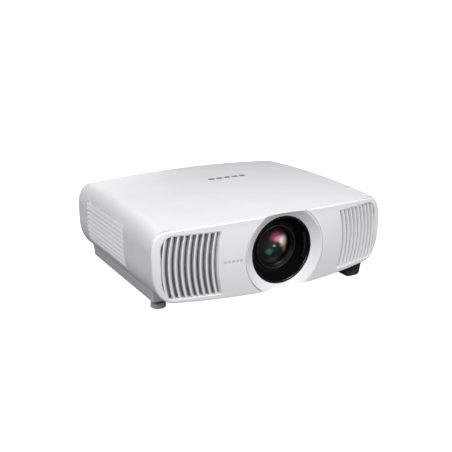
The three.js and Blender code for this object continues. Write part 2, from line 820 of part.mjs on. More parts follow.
function makeAcrossCarriage() {
  return shiftPlate(0, { x: tubeRadius + 16, z: tubeRadius + 10 }, tubeRadius - 6).subtract(
    rod("y", [0, carriageY - 1, lensHeight], 4 + gap, tubeRadius + gap, 36),
  );
}

function makeUprightCarriage() {
  return shiftPlate(1, { x: tubeRadius + 22, z: tubeRadius + 12 }, tubeRadius - 2);
}

function makeLensMount() {
  const halfWidth = tubeRadius + 30;
  const plate = shiftPlate(2, { x: halfWidth, z: tubeRadius + 22 }, tubeRadius + 2);
  const fromY = carriageY + 2 * (shiftPlateThickness + shiftPlateGap);
  const foot = block([-halfWidth, fromY, panFloor + gap], [halfWidth, fromY + 24, panFloor + 6]);
  const web = block(
    [-halfWidth, fromY, panFloor + gap],
    [halfWidth, fromY + shiftPlateThickness, lensHeight - tubeRadius],
  );
  return plate.add(foot).add(web);
}

// ---- light path ----

const engineFrontY = carriageY + 3 * (shiftPlateThickness + shiftPlateGap) + 20;
const engine = {
  low: [-engineSize.left, engineFrontY, lensHeight - engineSize.halfHeight],
  high: [engineSize.right, engineFrontY + engineSize.depth, lensHeight + engineSize.halfHeight],
};
const prismMiddle = [0, engineFrontY + 28, lensHeight];

function makeOpticalEngine() {
  const box = block(engine.low, engine.high);
  const hollow = block(
    engine.low.map((value) => value + engineSize.wall),
    [engine.high[0] - engineSize.wall, engine.high[1] - engineSize.wall, engine.high[2] + 1],
  );
  const lightHole = rod("y", [0, engine.low[1] - 2, lensHeight], 10, 18, 32);
  const side = 2 * source.noseRadius + 4;
  const sourceHole = blockAt([engine.low[0], wheelMiddle[1], lensHeight], [20, side, side]);
  return box.subtract(hollow).subtract(lightHole).subtract(sourceHole);
}

function makePrism() {
  const pedestal = block(
    [-10, prismMiddle[1] - 10, engine.low[2] + engineSize.wall + gap],
    [10, prismMiddle[1] + 10, lensHeight - prismSize / 2 + 1],
  );
  return blockAt(prismMiddle, [prismSize, prismSize, prismSize]).add(pedestal);
}

// A panel in its holder against one face of the prism; turn is 0 behind it and a quarter turn at its sides.
function makePanel(turn) {
  const geometry = new THREE.BoxGeometry(26, 4, 54);
  geometry.translate(0, prismSize / 2 + 2 + 1, 0);
  geometry.rotateZ(turn);
  geometry.translate(...prismMiddle);
  return solidOf(geometry);
}

const wheelMiddle = [wheel.x, engine.high[1] - wheel.fromRear, lensHeight];

function makePhosphorWheel() {
  const disc = rod("x", wheelMiddle, wheel.thickness, wheel.radius, 28);
  const hubFrom = [wheelMiddle[0] - wheel.hubLength + 1, wheelMiddle[1], wheelMiddle[2]];
  return disc.add(rod("x", hubFrom, wheel.hubLength, wheel.hubRadius, 16));
}

const sourceFrontY = engine.high[1] + 10 - source.depth;
const sourceLow = lensHeight - source.halfHeight - 2.5;

function makeLightSource() {
  const right = engine.low[0] - source.fromEngine;
  const body = block(
    [right - source.width, sourceFrontY, sourceLow],
    [right, sourceFrontY + source.depth, sourceLow + 2 * source.halfHeight],
  );
  const nose = rod("x", [right - 1, wheelMiddle[1], lensHeight], source.noseLength + 1, source.noseRadius, 28);
  return body.add(nose);
}

const sinkFrontY = engine.low[1] + 10;

function makeHeatSink() {
  const left = engine.high[0] + 10;
  const plate = block([left, sinkFrontY, sink.low], [left + sink.plate, sinkFrontY + sink.depth, sink.high]);
  const fins = [];
  for (let order = 0; order < sink.finCount; order += 1) {
    const y = sinkFrontY + sink.fin + order * sink.finPitch;
    fins.push(block([left + sink.plate - 1, y, sink.low], [left + sink.length, y + sink.fin, sink.high]));
  }
  return plate.add(joined(fins));
}

// ---- cooling ----

const fanX = caseWidth / 2 - fan.fromSide;
const fanFrontY = frontY + fan.fromFront;

function makeFanHousing(side) {
  const middle = [side * fanX, fanFrontY + fan.depth / 2, lensHeight];
  const box = blockAt(middle, [2 * fan.half, fan.depth, 2 * fan.half]);
  const bore = rod("y", [side * fanX, fanFrontY - 1, lensHeight], fan.depth + 2, fan.half - fan.rim, 28);
  const barDepth = 3;
  const spiderY = fanFrontY + fan.depth - barDepth;
  const hub = rod("y", [side * fanX, spiderY, lensHeight], barDepth, fan.hubRadius, 16);
  const bars = [0, 1].map((order) => {
    const geometry = new THREE.BoxGeometry(2 * fan.half - 2, barDepth, 5);
    geometry.rotateY(Math.PI / 4 + (order * Math.PI) / 2);
    geometry.translate(side * fanX, spiderY + barDepth / 2, lensHeight);
    return solidOf(geometry);
  });
  return box.subtract(bore).add(hub).add(joined(bars));
}

const blade = { length: 25, thickness: 2, chord: 17, pitchAtHub: 0.9, pitchFall: 0.35 };

// One twisted fan blade that points along +X from the middle of the hub.
function fanBlade() {
  const geometry = new THREE.BoxGeometry(blade.length, blade.thickness, blade.chord, 2, 1, 1);
  const position = geometry.attributes.position;
  for (let i = 0; i < position.count; i += 1) {
    const out = position.getX(i) / blade.length + 0.5;
    const twist = blade.pitchAtHub - blade.pitchFall * out;
    const y = position.getY(i);
    const z = position.getZ(i);
    const turnedY = y * Math.cos(twist) - z * Math.sin(twist);
    const turnedZ = y * Math.sin(twist) + z * Math.cos(twist);
    position.setXYZ(i, position.getX(i) + fan.hubRadius + blade.length / 2 - 1.5, turnedY + hubLength / 2, turnedZ);
  }
  return geometry;
}

const hubLength = fan.depth - 6;

function makeImpeller(side) {
  const hub = rod("y", [0, 0, 0], hubLength, fan.hubRadius, 20);
  const blades = [];
  for (let order = 0; order < fan.bladeCount; order += 1) {
    const geometry = fanBlade();
    geometry.rotateY((order / fan.bladeCount) * 2 * Math.PI);
    blades.push(solidOf(geometry));
  }
  return hub.add(joined(blades)).translate(side * fanX, fanFrontY + 2, lensHeight);
}

function makeAirFilter() {
  const x = -caseWidth / 2 + filter.fromWall;
  return block(
    [x, louvreFront + filter.margin, louvreLow + filter.margin],
    [x + filter.thickness, louvreRear - filter.margin, louvreHigh - filter.topMargin],
  );
}

// ---- electronics ----

function makePowerSupply() {
  const front = rearY - supply.front;
  const rear = rearY - supply.rear;
  const { left, right, height } = supply;
  const slab = block([left, front, height], [right, rear, height + boardThickness]);
  const coil = block([left + 20, front + 8, height + 1], [left + 60, front + 48, height + 32]);
  const can = rod("z", [left + 90, front + 26, height + 1], 32, 13, 24);
  const shield = block([left + 24, front + 56, height + 1], [right - 16, rear - 6, height + 24]);
  return slab.add(coil).add(can).add(shield);
}

function makeMainBoard() {
  const front = rearY - board.front;
  const { left, right, height } = board;
  const slab = block([left, front, height], [right, rearY - board.rear, height + boardThickness]);
  const chip = block([left + 86, front + 24, height + 1], [left + 122, front + 60, height + 6]);
  const spreader = block([left + 146, front + 20, height + 1], [left + 186, front + 60, height + 12]);
  return slab.add(chip).add(spreader);
}

// ---- feet ----

function makeFootStem() {
  return rod("z", [footPlace.x, footPlace.y, stemSeat], stemLength, footStemRadius, 16);
}

function makeFootDisc() {
  const disc = rod("z", [footPlace.x, footPlace.y, 0], footHeight, footRadius, 28);
  return disc.subtract(rod("z", [footPlace.x, footPlace.y, stemSeat - gap], footHeight, footStemRadius + gap, 16));
}

function makeRightFoot() {
  const inner = caseWidth / 2 - blockFoot.inner;
  const outer = caseWidth / 2 - blockFoot.outer;
  const lowOuter = caseWidth / 2 - blockFoot.lowOuter;
  const top = splitHeight - splitGroove;
  const profile = [
    [inner, blockFoot.chamfer],
    [inner + 3, 3],
    [inner + blockFoot.chamfer, 0],
    [lowOuter - blockFoot.chamfer, 0],
    [lowOuter - 2, 4],
    [outer, top],
    [inner, top],
  ];
  const clearForm = outerForm.translate(0, 0, -gap);
  return extrudedAlongY(profile, frontY + blockFoot.front, frontY + blockFoot.rear)
    .subtract(clearForm)
    .subtract(panForm(-gap));
}

function makeRearFoot(side) {
  const x = side * (panWidth / 2 - rearFootInset.x);
  return rod("z", [x, panRear - rearFootInset.y, 0], panUnderside - gap, footRadius, 24);
}

// ---- assembly ----

addPiece("top_cover", makeTopCover(), "whitePlastic");
addPiece("base_tray", makeBaseTray(), "shadedPlastic");
addPiece("front_bezel", makeFrontBezel(), "whitePlastic");
addPiece("lens_surround", makeLensSurround(), "whitePlastic");
addPiece("left_front_grille", makeFrontGrille(-1), "shadedPlastic");
addPiece("right_front_grille", makeFrontGrille(1), "shadedPlastic");
addPiece("filter_cover", makeSideLouvre(-1), "whitePlastic");
addPiece("right_side_louvre", makeSideLouvre(1), "whitePlastic");
addPiece("rear_panel", makeRearPanel(), "shadedPlastic");
addPiece("receiver_window", makeReceiverWindow(), "smoked");
addPiece("top_mark", makeTopMark(), "shadedPlastic");
addPiece("status_window", makeLampWindow(), "smoked");
addPiece("control_door", makeControlDoor(), "whitePlastic");
addPiece("control_plate", makeControlPlate(), "darkPlastic");
for (const button of buttons) {
  addPiece(button.name, makeButton(button), "shadedPlastic");
}
for (const socket of sockets) {
  addPiece(socket.name, makeSocket(socket), "darkPlastic");
}
addPiece("lens_hood", makeLensHood(), "blackPlastic");
addPiece("lens_plate", makeLensPlate(), "blackPlastic");
addPiece("lens_barrel", makeLensBarrel(), "blackPlastic");
addPiece("lens_ring", makeLensRing(), "blackPlastic");
addPiece("front_lens", domedGlass(frontGlassRadius, glassSeatY + 4, 5, 3.5, 32), "glass");
addPiece("rear_lens", domedGlass(tubeRadius - 3 - gap, tubeRearY - 16, 3, 6, 20), "glass");
addPiece("focus_ring", makeTubeRing(barrelFrontY + 22, 16), "darkPlastic");
addPiece("zoom_ring", makeTubeRing(barrelFrontY + 46, 16), "darkPlastic");
addPiece("across_carriage", makeAcrossCarriage(), "aluminium");
addPiece("upright_carriage", makeUprightCarriage(), "aluminium");
addPiece("lens_mount", makeLensMount(), "aluminium");
addPiece("optical_engine", makeOpticalEngine(), "darkPlastic");
addPiece("prism_cube", makePrism(), "glass");
addPiece("green_panel", makePanel(0), "steel");
addPiece("red_panel", makePanel(Math.PI / 2), "steel");
addPiece("blue_panel", makePanel(-Math.PI / 2), "steel");
addPiece("phosphor_wheel", makePhosphorWheel(), "aluminium");
addPiece("light_source", makeLightSource(), "steel");
addPiece("heat_sink", makeHeatSink(), "aluminium");
for (const [name, side] of [["left", -1], ["right", 1]]) {
  addPiece(`${name}_fan_housing`, makeFanHousing(side), "darkPlastic");
  addPiece(`${name}_impeller`, makeImpeller(side), "darkPlastic");
}
addPiece("air_filter", makeAirFilter(), "foam");
addPiece("power_supply", makePowerSupply(), "board");
addPiece("main_board", makeMainBoard(), "board");
addPiece("left_foot_stem", makeFootStem(), "steel");
addPiece("left_foot_disc", makeFootDisc(), "rubber");
addPiece("right_front_foot", makeRightFoot(), "rubber");
addPiece("rear_left_foot", makeRearFoot(-1), "rubber");
addPiece("rear_right_foot", makeRearFoot(1), "rubber");

export default projector;
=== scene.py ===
import json
import math
import bpy
import bmesh
from mathutils import Matrix, Vector


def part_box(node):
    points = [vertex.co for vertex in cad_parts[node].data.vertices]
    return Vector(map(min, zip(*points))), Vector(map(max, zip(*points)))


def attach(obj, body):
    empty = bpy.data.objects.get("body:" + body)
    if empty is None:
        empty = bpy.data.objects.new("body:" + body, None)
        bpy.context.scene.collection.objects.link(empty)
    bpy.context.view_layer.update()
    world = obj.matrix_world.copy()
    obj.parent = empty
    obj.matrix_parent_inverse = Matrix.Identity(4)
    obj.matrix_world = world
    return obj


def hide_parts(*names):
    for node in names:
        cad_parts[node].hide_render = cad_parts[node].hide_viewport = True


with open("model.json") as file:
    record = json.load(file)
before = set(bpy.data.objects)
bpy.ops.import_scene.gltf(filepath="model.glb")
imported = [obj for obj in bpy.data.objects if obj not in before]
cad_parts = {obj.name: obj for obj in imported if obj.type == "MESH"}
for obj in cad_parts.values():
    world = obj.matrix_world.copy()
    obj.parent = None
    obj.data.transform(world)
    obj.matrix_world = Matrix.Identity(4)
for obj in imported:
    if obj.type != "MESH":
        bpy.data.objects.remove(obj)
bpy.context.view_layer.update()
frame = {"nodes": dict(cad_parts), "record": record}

mm = 0.001
perMm = 1000  # a texture's scale is this divided by its cell size in millimetres


def linear(hexColour):
    channels = [int(hexColour[i:i + 2], 16) / 255 for i in (1, 3, 5)]
    curved = [c / 12.92 if c <= 0.04045 else ((c + 0.055) / 1.055) ** 2.4 for c in channels]
    return (*curved, 1)


def addNode(tree, kind, settings=None, links=None):
    node = tree.nodes.new(kind)
    for key, value in (settings or {}).items():
        if isinstance(key, str) and hasattr(node, key):
            setattr(node, key, value)
        else:
            node.inputs[key].default_value = value
    for key, source in (links or {}).items():
        tree.links.new(source, node.inputs[key])
    return node


def newMaterial(name, fixed):
    material = bpy.data.materials.new(name)
    material.use_nodes = True
    tree = material.node_tree
    shader = tree.nodes["Principled BSDF"]
    for key, value in fixed.items():
        shader.inputs[key].default_value = value
    coords = addNode(tree, "ShaderNodeTexCoord").outputs["Object"]
    return material, tree, shader, coords


def wireSurface(tree, shader, pattern, tint=None, gloss=None, bump=None, span=(0.3, 0.7)):
    # one pattern tints the surface between two colours, spreads its gloss and lifts its grain
    colour = None
    if tint:
        ends = {"From Min": span[0], "From Max": span[1]}
        share = addNode(tree, "ShaderNodeMapRange", ends, {"Value": pattern})
        ends = {"data_type": "RGBA", 6: linear(tint[0]), 7: linear(tint[1])}
        colour = addNode(tree, "ShaderNodeMix", ends, {0: share.outputs["Result"]}).outputs[2]
        tree.links.new(colour, shader.inputs["Base Color"])
    if gloss:
        ends = {"From Min": span[0], "From Max": span[1], "To Min": gloss[0], "To Max": gloss[1]}
        rough = addNode(tree, "ShaderNodeMapRange", ends, {"Value": pattern})
        tree.links.new(rough.outputs["Result"], shader.inputs["Roughness"])
    if bump:
        strength, depthMm = bump
        lift = addNode(tree, "ShaderNodeBump", {"Strength": strength, "Distance": depthMm * mm},
                       {"Height": pattern})
        tree.links.new(lift.outputs["Normal"], shader.inputs["Normal"])
    return colour


plasticSkin = {"ior": 1.5, "cloudMm": 60, "marksMm": 14, "glossChange": 0.05, "wear": 0.3, "wearFrom": 0.52,
               "wearTo": 0.6, "grainDepth": 0.4}


def mouldedPlastic(name, ownLook):
    # a moulded or sprayed shell: cloudy tint, fine skin grain, handling marks in the gloss, paler worn edges
    look = {**plasticSkin, **ownLook}
    rough, change = look["roughness"], look["glossChange"]
    material, tree, shader, coords = newMaterial(name, {"IOR": look["ior"], "Roughness": rough})
    patterns = []
    for size, detail, uneven in (("cloudMm", 4, 0.5), ("marksMm", 5, 0.6), ("grainMm", 2, 0.5)):
        noise = addNode(tree, "ShaderNodeTexNoise", {"Scale": perMm / look[size], "Detail": detail,
                                                     "Roughness": uneven}, {"Vector": coords})
        patterns.append(noise.outputs["Fac"])
    clouds, marks, grain = patterns
    colour = wireSurface(tree, shader, clouds, tint=(look["colour"], look["cloud"]))
    wireSurface(tree, shader, marks, gloss=(rough - change, rough + change))
    wireSurface(tree, shader, grain, bump=(look["grain"], look["grainMm"] * look["grainDepth"]))
    pointy = addNode(tree, "ShaderNodeNewGeometry").outputs["Pointiness"]
    worn = addNode(tree, "ShaderNodeMapRange", {"From Min": look["wearFrom"], "From Max": look["wearTo"],
                                                "To Max": look["wear"]}, {"Value": pointy})
    layers = [(worn.outputs["Result"], look["edge"])]
    if "dust" in look:
        # painted shade: the vanes are darkened the deeper they reach into their vent, standing in for the shade
        # in the recess
        depth = addNode(tree, "ShaderNodeAttribute", {"attribute_name": "ventShadeDepth"})
        layers.append((depth.outputs["Fac"], look["dust"]))
    for share, over in layers:
        mix = addNode(tree, "ShaderNodeMix", {"data_type": "RGBA", 7: linear(over)}, {0: share, 6: colour})
        colour = mix.outputs[2]
    tree.links.new(colour, shader.inputs["Base Color"])
    return material


plasticLooks = {
    # satin sprayed shell, very fine grain that only softens the gloss
    "satinPaintedShell": {"colour": "#eeeef0", "cloud": "#eaeaec", "edge": "#f6f6f7", "roughness": 0.42,
                          "grainMm": 0.5, "grain": 0.12},
    # moulded underside pan, duller than the painted shell; its greyer tone is painted shade for the shade under
    # the case
    "mouldedPanPlastic": {"colour": "#c4c4c7", "cloud": "#bcbcbf", "edge": "#d2d2d4", "roughness": 0.58,
                          "grainMm": 0.8, "grain": 0.3},
    # vanes of the front vents: the same paint, with painted shade darkening them towards their rear edges
    "dustyPaintedVanes": {"colour": "#eeeef0", "cloud": "#eaeaec", "edge": "#f6f6f7", "roughness": 0.42,
                          "grainMm": 0.5, "grain": 0.15, "dust": "#8a8a8d"},
    # unpainted grained panel of the rear, a little greyer than the shell
    "mouldedRearPanel": {"colour": "#d2d2d4", "cloud": "#cbcbce", "edge": "#e0e0e2", "roughness": 0.55,
                         "grainMm": 0.7, "grain": 0.35},
    # matte black hood, a spark-eroded mould skin
    "texturedBlackPlastic": {"colour": "#030303", "cloud": "#050505", "edge": "#242425", "roughness": 0.25,
                             "grainMm": 0.6, "grain": 0.25, "wear": 0.15},
    # grey-black structural plastic of fans, frames and sockets
    "filledBlackNylon": {"colour": "#1f2022", "cloud": "#26272a", "edge": "#3c3d40", "roughness": 0.55,
                         "grainMm": 1.0, "grain": 0.35},
    # hard rubber of the feet
    "mouldedRubber": {"colour": "#232324", "cloud": "#2c2c2d", "edge": "#4a4a4b", "roughness": 0.78,
                      "grainMm": 0.9, "grain": 0.5, "cloudMm": 12},
    # pale grey rigid foot plastic
    "greyFootPlastic": {"colour": "#a3a3a6", "cloud": "#9b9b9e", "edge": "#b8b8bb", "roughness": 0.5,
                        "grainMm": 0.7, "grain": 0.3, "cloudMm": 15},
    # soft-touch button caps
    "softTouchButtons": {"colour": "#dededf", "cloud": "#d8d8da", "edge": "#ececee", "roughness": 0.6,
                         "grainMm": 0.4, "grain": 0.25, "cloudMm": 9},
    # dark print of the plain dashes on the top
    "darkPadPrint": {"colour": "#6f7074", "cloud": "#67686c", "edge": "#7d7e82", "roughness": 0.4,
                     "grainMm": 0.5, "grain": 0.1, "cloudMm": 20},
    # white nylon of connector tongues and button prints
    "paleNylon": {"colour": "#d9d9d4", "cloud": "#cfcfca", "edge": "#e6e6e2", "roughness": 0.5,
                  "grainMm": 0.5, "grain": 0.2, "cloudMm": 6},
    # inlay of the front, a shade darker than the shell
    "printedInlay": {"colour": "#c9cacd", "cloud": "#c3c4c8", "edge": "#d8d8da", "roughness": 0.35,
                     "grainMm": 0.5, "grain": 0.1, "cloudMm": 20},
}
materials = {name: mouldedPlastic(name, look) for name, look in plasticLooks.items()}


def castAluminium():
    # sand-cast skin: mottled grey, rough pits, some polish where it is handled
    material, tree, shader, coords = newMaterial("castAluminium", {"Metallic": 1.0, "Roughness": 0.45})
    clouds = addNode(tree, "ShaderNodeTexNoise", {"Scale": perMm / 9, "Detail": 5}, {"Vector": coords})
    wireSurface(tree, shader, clouds.outputs["Fac"], tint=("#a9abae", "#bfc1c4"), gloss=(0.38, 0.56))
    pits = addNode(tree, "ShaderNodeTexNoise", {"Scale": perMm / 1.2, "Detail": 3}, {"Vector": coords})
    wireSurface(tree, shader, pits.outputs["Fac"], bump=(0.4, 0.3))
    return material


def brushedSteel(name, dark, pale):
    # brushed or plated steel sheet: fine streaks along the length
    material, tree, shader, coords = newMaterial(name, {"Metallic": 1.0, "Roughness": 0.28})
    stretch = addNode(tree, "ShaderNodeMapping", {"Scale": (1, 0.05, 1)}, {"Vector": coords}).outputs["Vector"]
    streaks = addNode(tree, "ShaderNodeTexNoise", {"Scale": perMm / 0.5, "Detail": 4}, {"Vector": stretch})
    wireSurface(tree, shader, streaks.outputs["Fac"], tint=(dark, pale), gloss=(0.22, 0.36), bump=(0.15, 0.1))
    return material


def circuitBoard():
    # solder mask over copper: green with brighter track lines and pads
    material, tree, shader, coords = newMaterial("solderMaskedBoard", {"IOR": 1.55, "Roughness": 0.35})
    mask = {"Color1": linear("#1a5a33"), "Color2": linear("#17502e"), "Mortar": linear("#2f7d4c")}
    tracks = addNode(tree, "ShaderNodeTexBrick", {"Scale": 120.0, "Mortar Size": 0.06, **mask},
                     {"Vector": coords})
    pads = addNode(tree, "ShaderNodeTexVoronoi", {"Scale": 260.0}, {"Vector": coords})
    isPad = addNode(tree, "ShaderNodeMapRange", {"From Min": 0.16, "From Max": 0.12},
                    {"Value": pads.outputs["Distance"]})
    tint = addNode(tree, "ShaderNodeMix", {"data_type": "RGBA", 7: linear("#b9b48c")},
                   {0: isPad.outputs["Result"], 6: tracks.outputs["Color"]})
    tree.links.new(tint.outputs[2], shader.inputs["Base Color"])
    wireSurface(tree, shader, tracks.outputs["Fac"], bump=(0.3, 0.1))
    return material


def filterFoam():
    # open-cell foam: dark cells with lighter walls
    material, tree, shader, coords = newMaterial("openCellFoam", {"IOR": 1.45, "Roughness": 0.95})
    cells = addNode(tree, "ShaderNodeTexVoronoi", {"Scale": 700.0, "feature": "DISTANCE_TO_EDGE"},
                    {"Vector": coords})
    walls = addNode(tree, "ShaderNodeMapRange", {"From Min": 0.02, "From Max": 0.2, "To Min": 1, "To Max": 0},
                    {"Value": cells.outputs["Distance"]})
    wireSurface(tree, shader, walls.outputs["Result"], tint=("#1e2022", "#5d6064"), bump=(0.8, 0.8),
                span=(0, 1))
    return material


def tintedAcrylic(name, first, second):
    # tinted acrylic: glossy, faint wipe marks
    material, tree, shader, coords = newMaterial(name, {"IOR": 1.49, "Roughness": 0.08, "Coat Weight": 0.4})
    marks = addNode(tree, "ShaderNodeTexNoise", {"Scale": perMm / 5, "Detail": 4}, {"Vector": coords})
    wireSurface(tree, shader, marks.outputs["Fac"], tint=(first, second), gloss=(0.06, 0.16))
    return material


def paintedReflectionShare(tree, coords, look, reflectionBlob):
    # how strongly a soft ellipse of painted reflection shows, its middle and half sizes in millimetres from the
    # lens axis
    reflectionX, reflectionZ, wide, tall, weight = reflectionBlob
    middle = (reflectionX * mm + look["swirl"] / 2, 0, (reflectionZ + look["axis"]) * mm + look["swirl"] / 2)
    placed = addNode(tree, "ShaderNodeMapping", {"vector_type": "TEXTURE", "Location": middle,
                                                 "Scale": (wide * mm, 1.0, tall * mm)}, {"Vector": coords})
    flat = addNode(tree, "ShaderNodeVectorMath", {"operation": "MULTIPLY", 1: (1, 0, 1)},
                   {0: placed.outputs["Vector"]})
    far = addNode(tree, "ShaderNodeVectorMath", {"operation": "LENGTH"}, {0: flat.outputs[0]})
    ends = {"interpolation_type": "SMOOTHERSTEP", "From Min": 1.0, "From Max": 0.0, "To Max": weight}
    near = addNode(tree, "ShaderNodeMapRange", ends, {"Value": far.outputs["Value"]})
    return near.outputs["Result"]


def coatedGlass(name, look):
    # a deep lens element: dark glass body, soft coloured painted reflections standing in for the reflections
    # off its coated inner faces, faint dust
    material, tree, shader, coords = newMaterial(name, {"IOR": 1.6, "Roughness": 0.04, "Coat Weight": 0.5,
                                                        "Coat Roughness": 0.03, "Coat IOR": 1.5})
    swirl = addNode(tree, "ShaderNodeTexNoise", {"Scale": perMm / look["swirlMm"], "Detail": 3,
                                                 "Roughness": 0.6}, {"Vector": coords})
    bent = addNode(tree, "ShaderNodeVectorMath", {"operation": "SCALE", "Scale": look["swirl"]},
                   {0: swirl.outputs["Color"]})
    moved = addNode(tree, "ShaderNodeVectorMath", {"operation": "ADD"}, {0: coords, 1: bent.outputs[0]})
    tint = None
    # each soft patch of painted reflection tints the glass body towards its colour
    for reflectionX, reflectionZ, wide, tall, colour, weight in look["paintedReflections"]:
        near = paintedReflectionShare(tree, moved.outputs[0], look, (reflectionX, reflectionZ, wide, tall, weight))
        mix = addNode(tree, "ShaderNodeMix", {"data_type": "RGBA", 6: linear(look["body"]), 7: linear(colour)},
                      {0: near})
        if tint is not None:
            tree.links.new(tint, mix.inputs[6])
        tint = mix.outputs[2]
    dust = addNode(tree, "ShaderNodeTexNoise", {"Scale": perMm / 0.6, "Detail": 4, "Roughness": 0.7},
                   {"Vector": coords})
    speck = addNode(tree, "ShaderNodeMapRange", {"From Min": 0.7, "From Max": 0.82, "To Max": 0.15},
                    {"Value": dust.outputs["Fac"]})
    dusty = addNode(tree, "ShaderNodeMix", {"data_type": "RGBA", 7: linear("#8a8a90")},
                    {0: speck.outputs["Result"], 6: tint})
    tree.links.new(dusty.outputs[2], shader.inputs["Base Color"])
    wireSurface(tree, shader, dust.outputs["Fac"], gloss=(0.03, 0.08))
    return material


def anodisedBlack():
    # black anodised barrel with fine turning rings round the lens axis
    material, tree, shader, coords = newMaterial("anodisedBlack", {"Metallic": 0.6, "Roughness": 0.38})
    stretch = addNode(tree, "ShaderNodeMapping", {"Scale": (30, 2500, 30)}, {"Vector": coords})
    rings = addNode(tree, "ShaderNodeTexNoise", {"Scale": 1.0, "Detail": 2.0},
                    {"Vector": stretch.outputs["Vector"]})
    wireSurface(tree, shader, rings.outputs["Fac"], tint=("#0c0c0d", "#161617"), gloss=(0.32, 0.46),
                bump=(0.2, 0.1))
    return material


def wovenDustScreen():
    # fine nylon mesh behind the vents: pale crossing threads, the pores between them a little darker
    material, tree, shader, coords = newMaterial("wovenDustScreen", {"IOR": 1.5, "Roughness": 0.8})
    parts = addNode(tree, "ShaderNodeSeparateXYZ", {}, {"Vector": coords})
    threads = {}
    for order, axis in enumerate(("X", "Z")):
        wave = addNode(tree, "ShaderNodeMath", {"operation": "MULTIPLY", 1: 3600.0}, {0: parts.outputs[axis]})
        thread = addNode(tree, "ShaderNodeMath", {"operation": "SINE"}, {0: wave.outputs[0]})
        threads[order] = thread.outputs[0]
    weave = addNode(tree, "ShaderNodeMath", {"operation": "MAXIMUM"}, threads)
    share = addNode(tree, "ShaderNodeMapRange", {"From Min": 0.2, "From Max": 0.8},
                    {"Value": weave.outputs[0]})
    wireSurface(tree, shader, share.outputs["Result"], tint=("#bebec0", "#dcdcde"), bump=(0.5, 0.2),
                span=(0, 1))
    return material


def flockedBaffle():
    # flocked light trap inside the hood: almost no gloss, a velvety nap
    material, tree, shader, coords = newMaterial("flockedBaffle", {"IOR": 1.4, "Roughness": 0.85,
                                                                    "Specular IOR Level": 0.1})
    nap = addNode(tree, "ShaderNodeTexNoise", {"Scale": perMm / 0.4, "Detail": 3, "Roughness": 0.7},
                  {"Vector": coords})
    wireSurface(tree, shader, nap.outputs["Fac"], tint=("#030303", "#080808"), gloss=(0.75, 0.95),
                bump=(0.5, 0.2))
    return material


# painted reflections on the lens elements: x and z from the lens axis, half width and half height in
# millimetres, colour and strength
frontPaintedReflections = [
    (-6, 2, 30, 22, "#2a3a30", 0.6), (-14, -8, 12, 9, "#2f7a5c", 0.9), (4, 17, 22, 15, "#a8456b", 0.95),
    (8, 13, 14, 9, "#e7a9c0", 0.8), (19, 8, 13, 17, "#d9c9ae", 0.9), (15, 10, 7, 8, "#fbf6ee", 0.85),
    (22, -6, 8, 14, "#7d7a4a", 0.6), (-2, 1, 5, 4, "#9fe0c0", 0.8), (-2, -26, 24, 7, "#33393a", 0.7)]
rearPaintedReflections = [(0, 8, 24, 16, "#24324a", 0.7), (-8, -8, 16, 10, "#1d4a3a", 0.6)]
glassLooks = {
    "frontCoatedGlass": {"axis": 106.5, "body": "#040506", "swirlMm": 16, "swirl": 0.008,
                         "paintedReflections": frontPaintedReflections},
    "rearCoatedGlass": {"axis": 106.5, "body": "#070a10", "swirlMm": 20, "swirl": 0.006,
                        "paintedReflections": rearPaintedReflections},
}
materials["wovenDustScreen"] = wovenDustScreen()
materials["flockedBaffle"] = flockedBaffle()
materials["castAluminium"] = castAluminium()
materials["nickelPlatedSteel"] = brushedSteel("nickelPlatedSteel", "#a7a8aa", "#c4c5c7")
materials["brushedDarkSteel"] = brushedSteel("brushedDarkSteel", "#8c8d90", "#a4a5a8")
materials["solderMaskedBoard"] = circuitBoard()
materials["openCellFoam"] = filterFoam()
materials["smokedAcrylic"] = tintedAcrylic("smokedAcrylic", "#8f9094", "#999a9e")
materials["darkAcrylic"] = tintedAcrylic("darkAcrylic", "#120c0e", "#1a1315")
materials["anodisedBlack"] = anodisedBlack()
for name, look in glassLooks.items():
    materials[name] = coatedGlass(name, look)
print("materials made:", len(materials))


def makePiece(name, bm, body, material, replaces=(), smoothAngle=38, bevel=None):
    mesh = bpy.data.meshes.new(name)
    bmesh.ops.transform(bm, matrix=Matrix.Scale(mm, 4), verts=bm.verts)
    for face in bm.faces:
        face.smooth = True
    bm.to_mesh(mesh)
    bm.free()
    for each in material if isinstance(material, (list, tuple)) else [material]:
        mesh.materials.append(materials[each])
    mesh.set_sharp_from_angle(angle=math.radians(smoothAngle))
    piece = bpy.data.objects.new(name, mesh)
    bpy.context.scene.collection.objects.link(piece)
    if bevel:
        rounding = piece.modifiers.new("edges", "BEVEL")
        rounding.width = bevel * mm
        rounding.segments = 2
        rounding.limit_method = "ANGLE"
        rounding.angle_limit = math.radians(38)
        rounding.use_clamp_overlap = True
        rounding.miter_outer = "MITER_ARC"
    weighted = piece.modifiers.new("shading", "WEIGHTED_NORMAL")
    weighted.keep_sharp = True
    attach(piece, body)
    if replaces:
        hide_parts(*replaces)
    return piece


def joinInto(target, other, matrix=None):
    if matrix is not None:
        bmesh.ops.transform(other, matrix=matrix, verts=other.verts)
    mesh = bpy.data.meshes.new("scrap")
    other.to_mesh(mesh)
    other.free()
    target.from_mesh(mesh)
    bpy.data.meshes.remove(mesh)
    return target


def nodeBox(name):
    # lowest and highest corner of a CAD node, in millimetres
    return [[value / mm for value in corner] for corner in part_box(name)]


def midway(low, high, axis):
    return (low[axis] + high[axis]) / 2


def spanOf(edge, axis):
    return abs(edge.verts[0].co[axis] - edge.verts[1].co[axis])


def softenEdges(bm, edges, width, segments):
    bmesh.ops.bevel(bm, geom=edges, offset=width, offset_type="OFFSET", segments=segments, profile=0.5,
                    affect="EDGES", clamp_overlap=True, material=-1)


def softenWhere(bm, width, segments, chosen):
    softenEdges(bm, [e for e in bm.edges if len(e.link_faces) == 2 and chosen(e)], width, segments)


